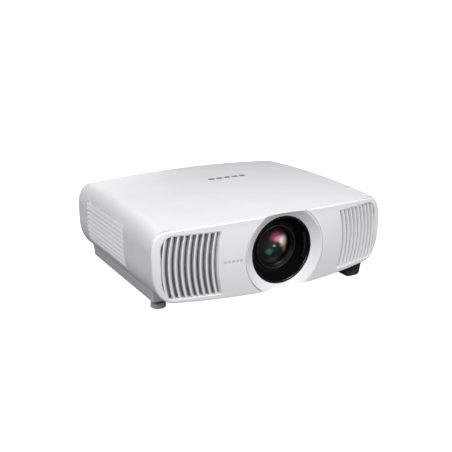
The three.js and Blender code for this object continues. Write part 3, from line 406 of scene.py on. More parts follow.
def boxOf(low, high, bevel=0.0, segments=3, edgesWhere=None):
    bm = bmesh.new()
    bmesh.ops.create_cube(bm, size=1)
    size = [b - a for a, b in zip(low, high)]
    middle = [(a + b) / 2 for a, b in zip(low, high)]
    bmesh.ops.scale(bm, vec=size, verts=bm.verts)
    bmesh.ops.translate(bm, vec=middle, verts=bm.verts)
    if bevel:
        softenEdges(bm, [e for e in bm.edges if edgesWhere is None or edgesWhere(e)], bevel, segments)
    return bm


def rodAlong(axis, middle, radius, length, sides=48, bevel=0.0):
    bm = bmesh.new()
    bmesh.ops.create_cone(bm, cap_ends=True, cap_tris=False, segments=sides, radius1=radius, radius2=radius,
                          depth=length)
    if bevel:
        softenEdges(bm, [e for e in bm.edges if spanOf(e, 2) < 0.001], bevel, 3)
    turn = {"x": Matrix.Rotation(math.pi / 2, 4, "Y"), "y": Matrix.Rotation(math.pi / 2, 4, "X"),
            "z": Matrix.Identity(4)}
    bmesh.ops.transform(bm, matrix=Matrix.Translation(middle) @ turn[axis], verts=bm.verts)
    return bm


def turnedPiece(profile, steps=96, centre=(0, 0, 106.5), axis=(0, 1, 0)):
    # profile of (radius, place along the axis); closed when the last point repeats the first
    bm = bmesh.new()
    across = Vector((1, 0, 0)) if axis != (1, 0, 0) else Vector((0, 1, 0))
    along = Vector(axis)
    closed = profile[0] == profile[-1]
    points = profile[:-1] if closed else profile
    verts = [bm.verts.new(Vector(centre) + across * r + along * a) for r, a in points]
    for i in range(len(verts) - 1):
        bm.edges.new((verts[i], verts[i + 1]))
    if closed:
        bm.edges.new((verts[-1], verts[0]))
    bmesh.ops.spin(bm, geom=bm.verts[:] + bm.edges[:], cent=centre, axis=axis, angle=2 * math.pi, steps=steps,
                   use_merge=True)
    bmesh.ops.remove_doubles(bm, verts=bm.verts, dist=0.0005)
    bmesh.ops.recalc_face_normals(bm, faces=bm.faces)
    return bm


def combined(first, second, operation="DIFFERENCE"):
    # exact boolean of two bmeshes; both are used up
    holders = []
    for bm in (first, second):
        mesh = bpy.data.meshes.new("scrap")
        bm.to_mesh(mesh)
        bm.free()
        holder = bpy.data.objects.new("scrap", mesh)
        bpy.context.scene.collection.objects.link(holder)
        holders.append(holder)
    step = holders[0].modifiers.new("cut", "BOOLEAN")
    step.operation = operation
    step.object = holders[1]
    step.solver = "EXACT"
    bpy.context.view_layer.update()
    evaluated = holders[0].evaluated_get(bpy.context.evaluated_depsgraph_get())
    result = bmesh.new()
    result.from_mesh(evaluated.to_mesh())
    evaluated.to_mesh_clear()
    for holder in holders:
        mesh = holder.data
        bpy.data.objects.remove(holder)
        bpy.data.meshes.remove(mesh)
    return result


def pushOut(bm, faces, move):
    # extrudes the faces and carries their new ends along
    grown = bmesh.ops.extrude_face_region(bm, geom=faces)
    ends = [v for v in grown["geom"] if isinstance(v, bmesh.types.BMVert)]
    bmesh.ops.translate(bm, vec=move, verts=ends)
    bmesh.ops.recalc_face_normals(bm, faces=bm.faces)


def prismOf(outline, fromY, toY):
    # closed outline of (x, z) extruded along Y
    bm = bmesh.new()
    face = bm.faces.new([bm.verts.new((x, fromY, z)) for x, z in outline])
    pushOut(bm, [face], (0, toY - fromY, 0))
    return bm


def partsOf(faces):
    return list({v for f in faces for v in f.verts}) + list({e for f in faces for e in f.edges}) + faces


def splitLarge(bm):
    bmesh.ops.triangulate(bm, faces=[f for f in bm.faces if len(f.verts) > 4])


def sliceEvery(bm, axis, low, high, step):
    normal = Vector((axis == "x", axis == "y", axis == "z"))
    count = int(round((high - low) / step))
    for i in range(1, count):
        place = normal * (low + (high - low) * i / count)
        geom = bm.verts[:] + bm.edges[:] + bm.faces[:]
        bmesh.ops.bisect_plane(bm, geom=geom, dist=0.02, plane_co=place, plane_no=normal)


case = {
    "width": 520, "depth": 447, "height": 131, "ground": 40,
    "topCrown": 11, "bottomCrown": 6.5, "depthCrown": 11, "rearRise": 4.3,
    "frontBow": 39, "frontBulge": 3.6,
    "topCorner": (26, 37), "bottomCorner": (36, 60), "rearCorner": (46, 28),
    "wall": 3, "bezel": 4, "gap": 0.3, "split": 47.5, "groove": 1.2,
    "cornerRuns": (85, 55),  # share of the skin's columns that the lower and upper corners get
}
halfWidth = case["width"] / 2
halfHeight = case["height"] / 2
middleHeight = case["ground"] + halfHeight
frontEnd = -case["depth"] / 2
rearEnd = case["depth"] / 2
straightEnd = rearEnd - case["rearCorner"][1]

dish = {"radius": 87.3, "bottom": 67.4, "depth": 12.3, "lensHeight": 106.5, "wall": 2.0, "seam": 1.0}
dishSlope = (dish["radius"] - dish["bottom"]) / dish["depth"]
hoodRim = frontEnd + dish["depth"]
lensZ = dish["lensHeight"]


def dishY(radius):
    return hoodRim - (radius - dish["bottom"]) / dishSlope


def crownRise(x, level, along):
    across = 1 - (x / halfWidth) ** 2
    rise = case["depthCrown"] * 4 * along * (1 - along) + case["rearRise"] * along ** 2
    above = max(level, 0) ** 2 * (case["topCrown"] * across + rise)
    return above - max(-level, 0) ** 2 * case["bottomCrown"] * across


def frontPlace(x, z):
    level = min(abs(z - middleHeight) / halfHeight, 1)
    return frontEnd + case["frontBow"] * (x / halfWidth) ** 2 - case["frontBulge"] * (1 - level ** 2)


def onCase(x, y, up):
    # a point of the section, up measured from mid height, carried to depth y
    if y > straightEnd:
        angle = math.asin(min((y - straightEnd) / case["rearCorner"][1], 1))
        shrink = 1 - math.cos(angle)
        corner = case["topCorner"][1] if up > 0 else case["bottomCorner"][1]
        x *= 1 - shrink * case["rearCorner"][0] / halfWidth
        up *= 1 - shrink * min(corner, halfHeight * 0.9) / halfHeight
    along = (y - frontEnd) / case["depth"]
    return Vector((x, y, middleHeight + up + crownRise(x, up / halfHeight, along)))


def sectionPoint(s):
    # s from 0 to 1 once round the section, from the middle of the underside to the left and over the top
    topX, topZ = case["topCorner"]
    lowX, lowZ = case["bottomCorner"]
    lowRun, topRun = case["cornerRuns"]
    flatLow, flatTop = halfWidth - lowX, halfWidth - topX
    upright = case["height"] - topZ - lowZ
    runs = [flatLow, lowRun, upright, topRun, 2 * flatTop, topRun, upright, lowRun, flatLow]
    place = s * sum(runs)
    for order, run in enumerate(runs):
        if place <= run or order == len(runs) - 1:
            break
        place -= run
    part = place / run
    angle = part * math.pi / 2
    if order == 0:
        return -flatLow * part, -halfHeight
    if order == 1:
        return -flatLow - lowX * math.sin(angle), -halfHeight + lowZ - lowZ * math.cos(angle)
    if order == 2:
        return -halfWidth, -halfHeight + lowZ + run * part
    if order == 3:
        return -flatTop - topX * math.cos(angle), halfHeight - topZ + topZ * math.sin(angle)
    if order == 4:
        return -flatTop + run * part, halfHeight
    x, up = sectionPoint(1 - s)
    return -x, up


def sideX(y, z):
    # half width of the case at a height; solved back through the crown
    along = (y - frontEnd) / case["depth"]
    up = z - middleHeight
    x = halfWidth
    for _ in range(6):
        rel = up - (crownRise(x, rel / halfHeight, along) if _ else 0)
        topX, topZ = case["topCorner"]
        lowX, lowZ = case["bottomCorner"]
        x = halfWidth
        if rel > halfHeight - topZ:
            part = min((rel - halfHeight + topZ) / topZ, 1)
            x = halfWidth - topX + topX * math.sqrt(1 - part ** 2)
        if rel < lowZ - halfHeight:
            part = min((lowZ - halfHeight - rel) / lowZ, 1)
            x = halfWidth - lowX + lowX * math.sqrt(1 - part ** 2)
    return x


def shellFront(x, z):
    # front edge of cover and tray: behind the front panel, and behind the dish where that cuts the edge
    behindPanel = frontPlace(x, z) + case["bezel"] + case["gap"]
    radius = math.hypot(x, z - lensZ)
    return max(behindPanel, dishY(radius) + dish["wall"] + case["gap"])


# share of the rows on the straight part, how they crowd to the front, and where the rear round ends
skinRows = {"straight": 0.72, "crowd": 1.25, "roundEnd": 0.92}


def caseSkin(around, rows):
    bm = bmesh.new()
    bmesh.ops.create_grid(bm, x_segments=around, y_segments=rows, size=0.5)
    straightShare = skinRows["straight"]
    for v in bm.verts:
        s, t = v.co.x + 0.5, v.co.y + 0.5
        x, up = sectionPoint(s)
        start = onCase(x, frontEnd + 5, up)
        startY = shellFront(start.x, start.z)
        if t <= straightShare:
            share = t / straightShare
            y = startY + (straightEnd - startY) * share ** skinRows["crowd"]
            v.co = onCase(x, y, up)
        elif t < 0.999:
            angle = (t - straightShare) / (1 - straightShare) / skinRows["roundEnd"] * math.pi / 2
            y = straightEnd + case["rearCorner"][1] * math.sin(min(angle, math.pi / 2))
            v.co = onCase(x, y, up)
        else:
            edge = onCase(x, rearEnd, up)
            v.co = Vector((edge.x, rearEnd, middleHeight))
    bmesh.ops.remove_doubles(bm, verts=bm.verts, dist=0.01)
    bmesh.ops.recalc_face_normals(bm, faces=bm.faces)
    return bm


def within(middle, low, high, margin=0):
    # a None leaves that side open
    return all((a is None or m > a - margin) and (b is None or m < b + margin)
               for m, a, b in zip(middle, low, high))


def cutOpening(bm, low, high, margin=14):
    # removes the skin inside a box, sliced along its sides first; bounds outside the case need no slice
    for axis in range(3):
        normal = Vector([float(axis == i) for i in range(3)])
        for bound in (low[axis], high[axis]):
            if bound is None or abs(bound) > 270:
                continue
            faces = [f for f in bm.faces if within(f.calc_center_median(), low, high, margin)]
            bmesh.ops.bisect_plane(bm, geom=partsOf(faces), dist=0.05, plane_co=normal * bound,
                                   plane_no=normal)
    gone = [f for f in bm.faces if within(f.calc_center_median(), low, high)]
    bmesh.ops.delete(bm, geom=gone, context="FACES")


def thicken(piece, wall):
    body = piece.modifiers.new("wall", "SOLIDIFY")
    body.thickness = wall * mm
    body.offset = -1
    body.use_even_offset = False
    body.use_rim = True
    while piece.modifiers.find("wall") > 0:
        order = piece.modifiers.find("wall")
        piece.modifiers.move(order, order - 1)


def keepSide(bm, height, above):
    normal = Vector((0, 0, 1))
    bmesh.ops.bisect_plane(bm, geom=bm.verts[:] + bm.edges[:] + bm.faces[:], dist=0.02,
                           plane_co=normal * height, plane_no=normal, clear_inner=above, clear_outer=not above)


louvre = {"front": -60, "rear": 149, "low": 65, "high": 158, "frame": 3, "slats": 9, "proud": 6.4, "lip": 1.3,
          "blade": 1.7, "topOverlap": 0.4}
recess = {"halfWidth": 205, "low": 62, "high": 148, "depth": 22}
doorHole = {"front": -170, "rear": -70, "low": 94, "high": 134}
openFrom = {"side": 200, "top": 150}  # openings cut the wall that lies further out than this


def topCover():
    bm = caseSkin(360, 46)
    keepSide(bm, case["split"], True)
    side, gap = openFrom["side"], case["gap"]
    cutOpening(bm, [None, louvre["front"], louvre["low"]], [-side, louvre["rear"], louvre["high"]])
    cutOpening(bm, [side, louvre["front"], louvre["low"]], [None, louvre["rear"], louvre["high"]])
    cutOpening(bm, [side, doorHole["front"] - gap, doorHole["low"] - gap],
               [None, doorHole["rear"] + gap, doorHole["high"] + gap])
    cutOpening(bm, [-recess["halfWidth"] - gap, rearEnd - recess["depth"] - gap, recess["low"] - gap],
               [recess["halfWidth"] + gap, None, recess["high"] + gap])
    for node in ("status_window", "top_mark"):
        low, high = nodeBox(node)
        cutOpening(bm, [low[0] - gap, low[1] - gap, openFrom["top"]], [high[0] + gap, high[1] + gap, None])
    piece = makePiece("cover_shell", bm, "case", "satinPaintedShell", ["top_cover"],
                      bevel=0.45)
    thicken(piece, case["wall"])
    return piece


topCover()
print("top cover shaped")


# the last two vent values set where the painted shade on the vanes begins behind the front, and over what depth
# it grows to full strength
vent = {"inner": 133, "outer": 245, "half": 60, "bow": 220, "topCorner": (24, 28), "bottomCorner": (20, 46),
        "vanes": 9, "thickness": 3.2, "depth": 16, "lean": 13, "setback": 0.9, "ringSetback": 1.4,
        "screenBack": 17, "unshadedDepth": 0.8, "dustDepth": 6.5}


def bowOffset(up):
    return math.sqrt(vent["bow"] ** 2 - up ** 2) - math.sqrt(vent["bow"] ** 2 - vent["half"] ** 2)


def arcPoints(cx, cz, rx, rz, start, steps):
    turns = [start + i / steps * math.pi / 2 for i in range(steps + 1)]
    return [(cx + rx * math.cos(turn), cz + rz * math.sin(turn)) for turn in turns]


def ventOutline(side, inset):
    outer, half = vent["outer"] - inset, vent["half"] - inset
    tx, tz = [value - inset for value in vent["topCorner"]]
    bx, bz = [value - inset for value in vent["bottomCorner"]]
    points = arcPoints(outer - bx, bz - half, bx, bz, -math.pi / 2, 12)
    points += arcPoints(outer - tx, half - tz, tx, tz, 0, 12)
    for i in range(17):
        up = half - 2 * half * i / 16
        points.append((vent["inner"] + inset + bowOffset(up), up))
    return [(side * x, up + middleHeight) for x, up in points]


def frontOutline():
    bm = bmesh.new()
    steps = 190
    bmesh.ops.create_circle(bm, cap_ends=True, segments=steps, radius=1)
    for order, v in enumerate(list(bm.verts)):
        x, up = sectionPoint(order / steps)
        point = onCase(x, frontEnd, up)
        v.co = Vector((point.x, 0, point.z))
    return bm


def onFrontPlane(edge):
    return (all(abs(v.co.y) < 0.01 for v in edge.verts) and len(edge.link_faces) == 2
            and edge.calc_face_angle(0) > math.radians(60))


def frontPanel():
    # cut while flat, each opening's edge eased on its own, then bent to the bowed front
    bm = frontOutline()
    pushOut(bm, bm.faces[:], (0, case["bezel"], 0))
    softenWhere(bm, 2.4, 4, onFrontPlane)
    for side in (-1, 1):
        bm = combined(bm, prismOf(ventOutline(side, 0), -10, 20))
    softenWhere(bm, 1.3, 3, onFrontPlane)
    bm = combined(bm, rodAlong("y", (0, 0, lensZ), dish["radius"] + dish["seam"], 40, 160))
    softenWhere(bm, 0.25, 2, onFrontPlane)
    splitLarge(bm)
    sliceEvery(bm, "x", -260, 260, 8)
    sliceEvery(bm, "z", 40, 184, 14)
    for v in bm.verts:
        v.co.y += frontPlace(v.co.x, v.co.z)
    return makePiece("front_panel_shell", bm, "case", "satinPaintedShell", ["front_bezel"])


frontPanel()
print("front panel shaped")


def lensSurround():
    # rings of a closed grid: out along the dish, over a small lip, back and in again behind
    bm = bmesh.new()
    around = 180
    cone = 10
    rows = cone + 6
    bmesh.ops.create_grid(bm, x_segments=around, y_segments=rows, size=0.5)
    for v in bm.verts:
        angle = (v.co.x + 0.5) * 2 * math.pi
        row = round((v.co.y + 0.5) * rows)
        c, s = math.cos(angle), math.sin(angle)
        reach = dish["radius"]
        for _ in range(5):
            # the dish ends where it meets the crowned top or underside
            x = reach * c
            up = halfHeight if s > 0 else -halfHeight
            limit = abs(onCase(x, dishY(reach), up).z - lensZ)
            if reach * abs(s) > limit:
                reach = limit / abs(s)
        x, z = reach * c, lensZ + reach * s
        edgeY = max(dishY(reach), frontPlace(x, z) + 0.1)
        backY = max(dishY(reach) + dish["wall"], frontPlace(x, z) + case["bezel"])
        base = dish["bottom"]
        share = min(row / cone, 1)
        r = base + (reach - 0.8 - base) * share
        y = dishY(r)
        if row == cone:
            y = max(dishY(r), frontPlace(r * c, lensZ + r * s) + 0.15)
        if row == cone + 1:
            r, y = reach - 0.25, edgeY + 0.12
        if row == cone + 2:
            r, y = reach, edgeY + 0.6
        if row == cone + 3:
            r, y = reach, backY
        if row == cone + 4:
            r, y = reach - 2.5, backY
        if row == cone + 5:
            r, y = base + 2.5, hoodRim + 2
        if row == cone + 6:
            r, y = base, hoodRim + 2
        v.co = Vector((r * c, y, lensZ + r * s))
    bmesh.ops.remove_doubles(bm, verts=bm.verts, dist=0.01)
    loops = [e for e in bm.edges if len(e.link_faces) == 1]
    bmesh.ops.bridge_loops(bm, edges=loops)
    bmesh.ops.recalc_face_normals(bm, faces=bm.faces)
    return makePiece("dish_ring", bm, "case", "satinPaintedShell", ["lens_surround"],
                     smoothAngle=50)


lensSurround()
print("dish shaped")


def ventBlade(side, order):
    half, thick = vent["half"], vent["thickness"] / 2
    pitch = (vent["outer"] - vent["inner"]) / (vent["vanes"] + 1)
    blade = boxOf((-thick, 0, -half), (thick, vent["depth"], half), 1.45, 4,
                  lambda e: all(v.co.y < 0.01 for v in e.verts) and spanOf(e, 2) > 1)
    sliceEvery(blade, "z", -half, half, 6)
    for v in blade.verts:
        depth = v.co.y
        across = vent["inner"] + pitch * order + bowOffset(v.co.z) + v.co.x
        across -= vent["lean"] * depth / vent["depth"]
        z = v.co.z + middleHeight
        v.co = Vector((side * across, frontPlace(across, z) + vent["setback"] + depth, z))
    if side < 0:
        bmesh.ops.reverse_faces(blade, faces=blade.faces)
    return blade


def bendToFront(bm, side, setback):
    sliceEvery(bm, "x", side * 130, side * 250, side * 8)
    for v in bm.verts:
        v.co.y += frontPlace(v.co.x, v.co.z) + setback
    return bm


def ventVanes(side):
    bm = bmesh.new()
    for order in range(1, vent["vanes"] + 1):
        joinInto(bm, ventBlade(side, order))
    vanes = combined(bm, prismOf(ventOutline(side, 0.4), frontEnd - 20, frontEnd + 90), "INTERSECT")
    ring = combined(prismOf(ventOutline(side, case["gap"]), 0, vent["depth"]),
                    prismOf(ventOutline(side, 1.5), -5, 30))
    softenWhere(ring, 0.35, 2, onFrontPlane)
    bendToFront(ring, side, vent["ringSetback"])
    screen = prismOf(ventOutline(side, 0.6), 0, 0.8)
    splitLarge(screen)
    bendToFront(screen, side, vent["screenBack"])
    hand = "left" if side < 0 else "right"
    makePiece(hand + "_dust_screen", screen, "case", "wovenDustScreen")
    joinInto(vanes, ring)
    # painted shade: how deep each vertex lies behind the vent's front, which darkens the vanes there
    depthLayer = vanes.verts.layers.float.new("ventShadeDepth")
    for v in vanes.verts:
        behind = v.co.y - frontPlace(v.co.x, v.co.z) - vent["setback"] - vent["unshadedDepth"]
        v[depthLayer] = min(max(behind / vent["dustDepth"], 0), 1)
    makePiece(hand + "_vent_vanes", vanes, "case", "dustyPaintedVanes",
              [hand + "_front_grille"])


for side in (-1, 1):
    ventVanes(side)
print("vents shaped")


def sideLouvre(side):
    # slats whose faces lean out towards their lower edges, in a frame that follows the wall
    gap = case["gap"]
    front, rear = louvre["front"] + gap, louvre["rear"] - gap
    low, high = louvre["low"] + gap, louvre["high"] - gap
    frameWidth = louvre["frame"]
    bm = combined(boxOf((0, front, low), (case["wall"], rear, high)),
                  boxOf((-5, front + frameWidth, low + frameWidth), (9, rear - frameWidth, high - frameWidth)))
    softenWhere(bm, 0.4, 2, lambda e: all(abs(v.co.x) < 0.01 for v in e.verts) and e.calc_face_angle(0) > 1)
    sliceEvery(bm, "y", front, rear, 12)
    sliceEvery(bm, "z", low, high, 6)
    usable = high - low - 2 * frameWidth
    pitch = usable / louvre["slats"]
    proud, blade = louvre["proud"], louvre["blade"]
    for order in range(louvre["slats"]):
        base = low + frameWidth + pitch * order
        head = base + pitch + louvre["topOverlap"]
        profile = [(0.25, base), (0.25, base + louvre["lip"]), (proud, head), (proud + blade, head),
                   (proud + blade - 0.4, base + pitch * 0.5), (blade + 0.6, base)]
        if order == louvre["slats"] - 1:
            profile[2] = (proud - 0.6, base + pitch)
            profile[3] = (proud + blade, base + pitch)
        slat = bmesh.new()
        face = slat.faces.new([slat.verts.new((d, front + frameWidth - 0.2, z)) for d, z in profile])
        pushOut(slat, [face], (0, rear - front - 2 * frameWidth + 0.4, 0))
        softenWhere(slat, 0.45, 3, lambda e: all(v.co.x < 0.3 for v in e.verts) and spanOf(e, 1) > 5)
        sliceEvery(slat, "y", front, rear, 14)
        joinInto(bm, slat)
    for v in bm.verts:
        v.co.x = side * (sideX(v.co.y, v.co.z) - v.co.x)
    if side > 0:
        bmesh.ops.reverse_faces(bm, faces=bm.faces)
    bmesh.ops.recalc_face_normals(bm, faces=bm.faces)
    name, node, body = (("filter_cover_slats", "filter_cover", "filter_cover") if side < 0
                        else ("right_louvre_slats", "right_side_louvre", "case"))
    return makePiece(name, bm, body, "satinPaintedShell", [node], smoothAngle=30)


for side in (-1, 1):
    sideLouvre(side)
print("louvres shaped")


pan = {"halfWidth": 238, "front": -138, "rear": 176, "under": 20.5, "draft": 3, "corner": 5}
foot = {"x": -216, "y": -112, "radius": 15, "height": 9, "ribs": 40, "ribShare": 0.03, "threadTop": 55}


def baseTray():
    bm = caseSkin(360, 40)
    keepSide(bm, case["split"] - case["groove"], False)
    piece = makePiece("base_shell", bm, "case", "satinPaintedShell", ["base_tray"], bevel=0.4)
    thicken(piece, case["wall"])
    return piece


def panShell():
    # a shallow tray with drafted walls, rounded upright corners, a soft lower edge and a recessed field
    top = case["split"] - case["groove"] - 0.2
    bm = boxOf((-pan["halfWidth"], pan["front"], pan["under"]), (pan["halfWidth"], pan["rear"], top))
    softenWhere(bm, pan["corner"], 5, lambda e: spanOf(e, 2) > 5)
    for v in bm.verts:
        if v.co.z > pan["under"] + 1:
            v.co.x += math.copysign(pan["draft"], v.co.x)
    softenWhere(bm, 1.6, 3, lambda e: all(v.co.z < pan["under"] + 0.01 for v in e.verts))
    lower = [f for f in bm.faces if f.normal.z < -0.99 and f.calc_area() > 10000]
    bmesh.ops.inset_region(bm, faces=lower, thickness=8, depth=0)
    bmesh.ops.inset_region(bm, faces=lower, thickness=1.0, depth=-0.9)
    # painted shade: the pan takes a greyer tone than the white shell
    return makePiece("pan_shell", bm, "case", "mouldedPanPlastic")


baseTray()
panShell()
print("base shaped")


def turnedUpright(profile, steps, x, y):
    return turnedPiece(profile, steps, (x, y, 0), (0, 0, 1))


def footDisc():
    # levelling foot: ribbed rim, soft edge, a raised ring and a sole
    r, top = foot["radius"], foot["height"]
    profile = [(0, 0.4), (r - 3.5, 0.4), (r - 2.8, 0), (r - 0.8, 0), (r, 0.8), (r, top - 1.4),
               (r - 0.6, top - 0.4), (r - 2, top), (9, top), (8.4, top - 0.6), (5.6, top - 0.6),
               (5.3, top - 1.0), (5.3, 4), (0, 4)]
    bm = turnedUpright(profile, 96, foot["x"], foot["y"])
    for v in bm.verts:
        arm = Vector((v.co.x - foot["x"], v.co.y - foot["y"]))
        if arm.length > r - 0.2 and 0.7 < v.co.z < top - 1.2:
            angle = math.atan2(arm.y, arm.x)
            arm *= 1 - foot["ribShare"] * (0.5 + 0.5 * math.cos(angle * foot["ribs"]))
            v.co.x, v.co.y = foot["x"] + arm.x, foot["y"] + arm.y
    makePiece("level_foot", bm, "left_foot_disc", "greyFootPlastic", ["left_foot_disc"])


def footBoss():
    # pale cone-shaped boss that the stem screws into
    profile = [(5.4, 19.8), (13.2, 19.8), (14, 20.6), (14.6, 30), (14.9, 44), (5.4, 44), (5.4, 19.8)]
    bm = turnedUpright(profile, 64, foot["x"], foot["y"])
    makePiece("foot_boss", bm, "case", "satinPaintedShell")


def footStem():
    # trapezoid-thread stem of the levelling foot
    profile = [(0, 4)]
    z = 4.4
    while z < foot["threadTop"]:
        profile += [(4.2, z), (4.95, z + 0.5), (4.95, z + 0.9), (4.2, z + 1.4)]
        z += 2.0
    profile += [(4.2, foot["threadTop"] + 0.6), (3.6, foot["threadTop"] + 1), (0, foot["threadTop"] + 1)]
    bm = turnedUpright(profile, 32, foot["x"], foot["y"])
    makePiece("foot_thread", bm, "left_foot_stem", "nickelPlatedSteel", ["left_foot_stem"])


blockFoot = {"inner": 190, "outer": 236, "lowOuter": 230, "front": -173, "rear": -139}


def rightFoot():
    # a block whose top follows the curved underside of the case
    f = blockFoot
    lowX, lowZ = case["bottomCorner"]
    outline = [(f["inner"], 44), (f["inner"], 8), (f["inner"] + 3, 3), (f["inner"] + 8, 0),
               (f["lowOuter"] - 8, 0), (f["lowOuter"] - 2, 4), (f["outer"], 44)]
    bm = prismOf(outline, f["front"], f["rear"])
    softenWhere(bm, 1.6, 3, lambda e: e.calc_face_angle(0) > 0.3 and max(v.co.z for v in e.verts) < 44.1
                and not all(v.co.z > 43.9 for v in e.verts))
    sliceEvery(bm, "x", 180, 240, 6)
    for v in bm.verts:
        flat = halfWidth - lowX
        if abs(v.co.x) < flat:
            roof = onCase(v.co.x, v.co.y, -halfHeight).z
        else:
            part = min((abs(v.co.x) - flat) / lowX, 1)
            up = -halfHeight + lowZ - lowZ * math.sqrt(1 - part ** 2)
            roof = middleHeight + up + crownRise(v.co.x, up / halfHeight, 0.1)
        v.co.z = min(v.co.z, roof - 0.35)
    makePiece("block_foot", bm, "case", "mouldedRubber", ["right_front_foot"])


def rearFeet():
    for node in ("rear_left_foot", "rear_right_foot"):
        low, high = nodeBox(node)
        radius = (high[0] - low[0]) / 2
        top = high[2]
        profile = [(0, 0), (radius - 1.2, 0), (radius, 1.2), (radius, 5), (radius - 1, 5.8), (radius - 1, 6.4),
                   (radius, 7.2), (radius, top - 0.6), (radius - 0.6, top), (0, top)]
        bm = turnedUpright(profile, 64, midway(low, high, 0), midway(low, high, 1))
        makePiece(node + "_pad", bm, "case", "mouldedRubber", [node])


footDisc()
footBoss()
footStem()
rightFoot()
rearFeet()
print("feet shaped")


lens = {"barrel": 44, "front": hoodRim + 20, "glass": 36, "hoodBack": hoodRim + 22, "rimWidth": 4.5,
        "throat": 50.9, "baffles": 6, "guideHalf": 26, "guideDepth": 6.5}


def hoodFunnel():
    rim = dish["bottom"] - case["gap"]
    back, backY = lens["throat"], lens["hoodBack"]
    inside = rim - lens["rimWidth"]
    # rounded glossy rim first, then the stepped light baffles inside it
    profile = [(rim, hoodRim + 11), (rim, hoodRim + 1.0), (rim - 0.3, hoodRim + 0.35),
               (rim - 1.0, hoodRim + 0.05), (inside + 1.6, hoodRim + 0.05), (inside + 0.7, hoodRim + 0.5),
               (inside, hoodRim + 1.5)]
    rimPoints = len(profile)
    steps = lens["baffles"]
    depth = backY - hoodRim - 2.8
    for i in range(steps):
        r0 = inside - (inside - back - 1.2) * i / steps
        r1 = inside - (inside - back - 1.2) * (i + 1) / steps
        y0 = hoodRim + 2.4 + depth * i / steps
        y1 = hoodRim + 2.4 + depth * (i + 1) / steps
        profile += [(r0, y0), (r0 - 0.15, y0 + (y1 - y0) * 0.82), (r1 + 0.1, y1 - 0.1)]
    profile += [(back + 0.2, backY - 0.4), (back, backY), (back + 2, backY), (rim, hoodRim + 11)]
    bm = turnedPiece(profile, 160)
    limit = profile[rimPoints][1] - 0.2
    for face in bm.faces:
        middle = face.calc_center_median()
        if middle.y > limit and math.hypot(middle.x, middle.z - lensZ) < rim - 3:
            face.material_index = 1
    makePiece("hood_funnel", bm, "case", ["texturedBlackPlastic", "flockedBaffle"],
              ["lens_hood"], smoothAngle=32)
    # slim raised bar on the right of the funnel, a guide of the lens shutter
    half = lens["guideHalf"]
    bar = boxOf((-1.1, 0, -half), (1.1, lens["guideDepth"], half), 0.7, 3)
    lean = math.atan2(inside - back, depth)
    bmesh.ops.rotate(bar, cent=(0, 0, 0), matrix=Matrix.Rotation(lean, 3, "Z"), verts=bar.verts)
    sliceEvery(bar, "z", -half, half, 4)
    for v in bar.verts:
        reach = inside - 2.4 + v.co.x
        v.co = Vector((math.sqrt(reach ** 2 - v.co.z ** 2), hoodRim + 3.2 + v.co.y, lensZ + v.co.z))
    makePiece("shutter_guide", bar, "case", "texturedBlackPlastic")


def lensPieces():
    b, f, g = lens["barrel"], lens["front"], lens["glass"]
    low, high = nodeBox("lens_plate")
    out, y = (high[0] - low[0]) / 2, low[1]
    plate = [(b + 0.3, y + 0.3), (b + 1, y), (out - 0.5, y), (out, y + 0.4), (out, y + 2), (b + 0.3, y + 2),
             (b + 0.3, y + 0.3)]
    # front end with a polished inner chamfer, long tube behind
    tube = [(b, f + 0.6), (b - 0.6, f + 0.05), (b - 2.1, f + 0.05), (b - 2.8, f + 0.7), (b - 3, f + 1.6),
            (b - 3, f + 13), (b - 10, f + 13), (b - 10, f + 17), (b - 7, f + 17), (b - 7, f + 84),
            (b - 4, f + 84), (b - 4, f + 16), (b - 0.6, f + 16), (b, f + 15.4), (b, f + 0.6)]
    edge = [(b - 0.7, f + 0.02), (b, f + 0.62), (b, f + 1.2), (b - 1.6, f + 1.2), (b - 1.6, f + 0.02),
            (b - 0.7, f + 0.02)]
    ring = [(g + 4.7, f + 2.2), (g + 4.4, f + 2.0), (g + 3.6, f + 2.2), (g + 2.9, f + 3.0), (g + 2.7, f + 3.2),
            (g + 1.9, f + 3.4), (g + 1.4, f + 4.4), (g + 1.2, f + 4.6), (g + 0.3, f + 5.2),
            (g + 0.3, f + 12.5), (g + 4.7, f + 12.5), (g + 4.7, f + 2.2)]
    # the front glass bulges to its tip, the rear one is hollow
    low, high = nodeBox("front_lens")
    rim, tip, back = high[1] - 4.5, low[1], high[1]
    bulge = [((g - 0.1) * i / 14, rim - (rim - tip) * (1 - (i / 14) ** 2)) for i in range(15)]
    bulge += [(g - 0.1, back - 0.4), (g - 0.6, back), (0, back)]
    low, high = nodeBox("rear_lens")
    hollow = [((g + 0.4) * i / 10, low[1] + 4 * (i / 10) ** 2) for i in range(11)]
    hollow += [(g + 0.4, high[1]), (0, high[1])]
    for name, profile, steps, material, slot, nodes, angle in (
            ("shift_cover_plate", plate, 128, "texturedBlackPlastic", "black_plastic", ["lens_plate"], 38),
            ("lens_tube", tube, 160, "anodisedBlack", "black_plastic", ["lens_barrel"], 30),
            ("barrel_edge", edge, 160, "brushedDarkSteel", "black_plastic", [], 38),
            ("retaining_ring", ring, 160, "anodisedBlack", "black_plastic", ["lens_ring"], 24),
            ("front_element", bulge, 128, "frontCoatedGlass", "lens_glass", ["front_lens"], 38),
            ("rear_element", hollow, 96, "rearCoatedGlass", "lens_glass", ["rear_lens"], 38)):
        makePiece(name, turnedPiece(profile, steps), "across_carriage", material, nodes,
                  smoothAngle=angle)


hoodFunnel()
lensPieces()
print("lens shaped")


marks = {"count": 5, "topFrom": -24, "topTo": 72, "topLow": 34, "topHigh": 46, "frontFrom": -132,
         "frontTo": -93, "frontLow": 104, "frontHigh": 109.5, "share": 0.72, "thick": 0.4, "proud": 0.04}
plateau = {"x": (-24, 72), "y": (32, 48), "sink": 0.1, "thick": 2.6}


def topZ(x, y):
    # height of the top where its corner rolls off
    topX, topDrop = case["topCorner"]
    part = max(abs(x) - halfWidth + topX, 0) / topX
    up = halfHeight - topDrop + topDrop * math.sqrt(max(1 - part ** 2, 0))
    return onCase(x, y, up).z


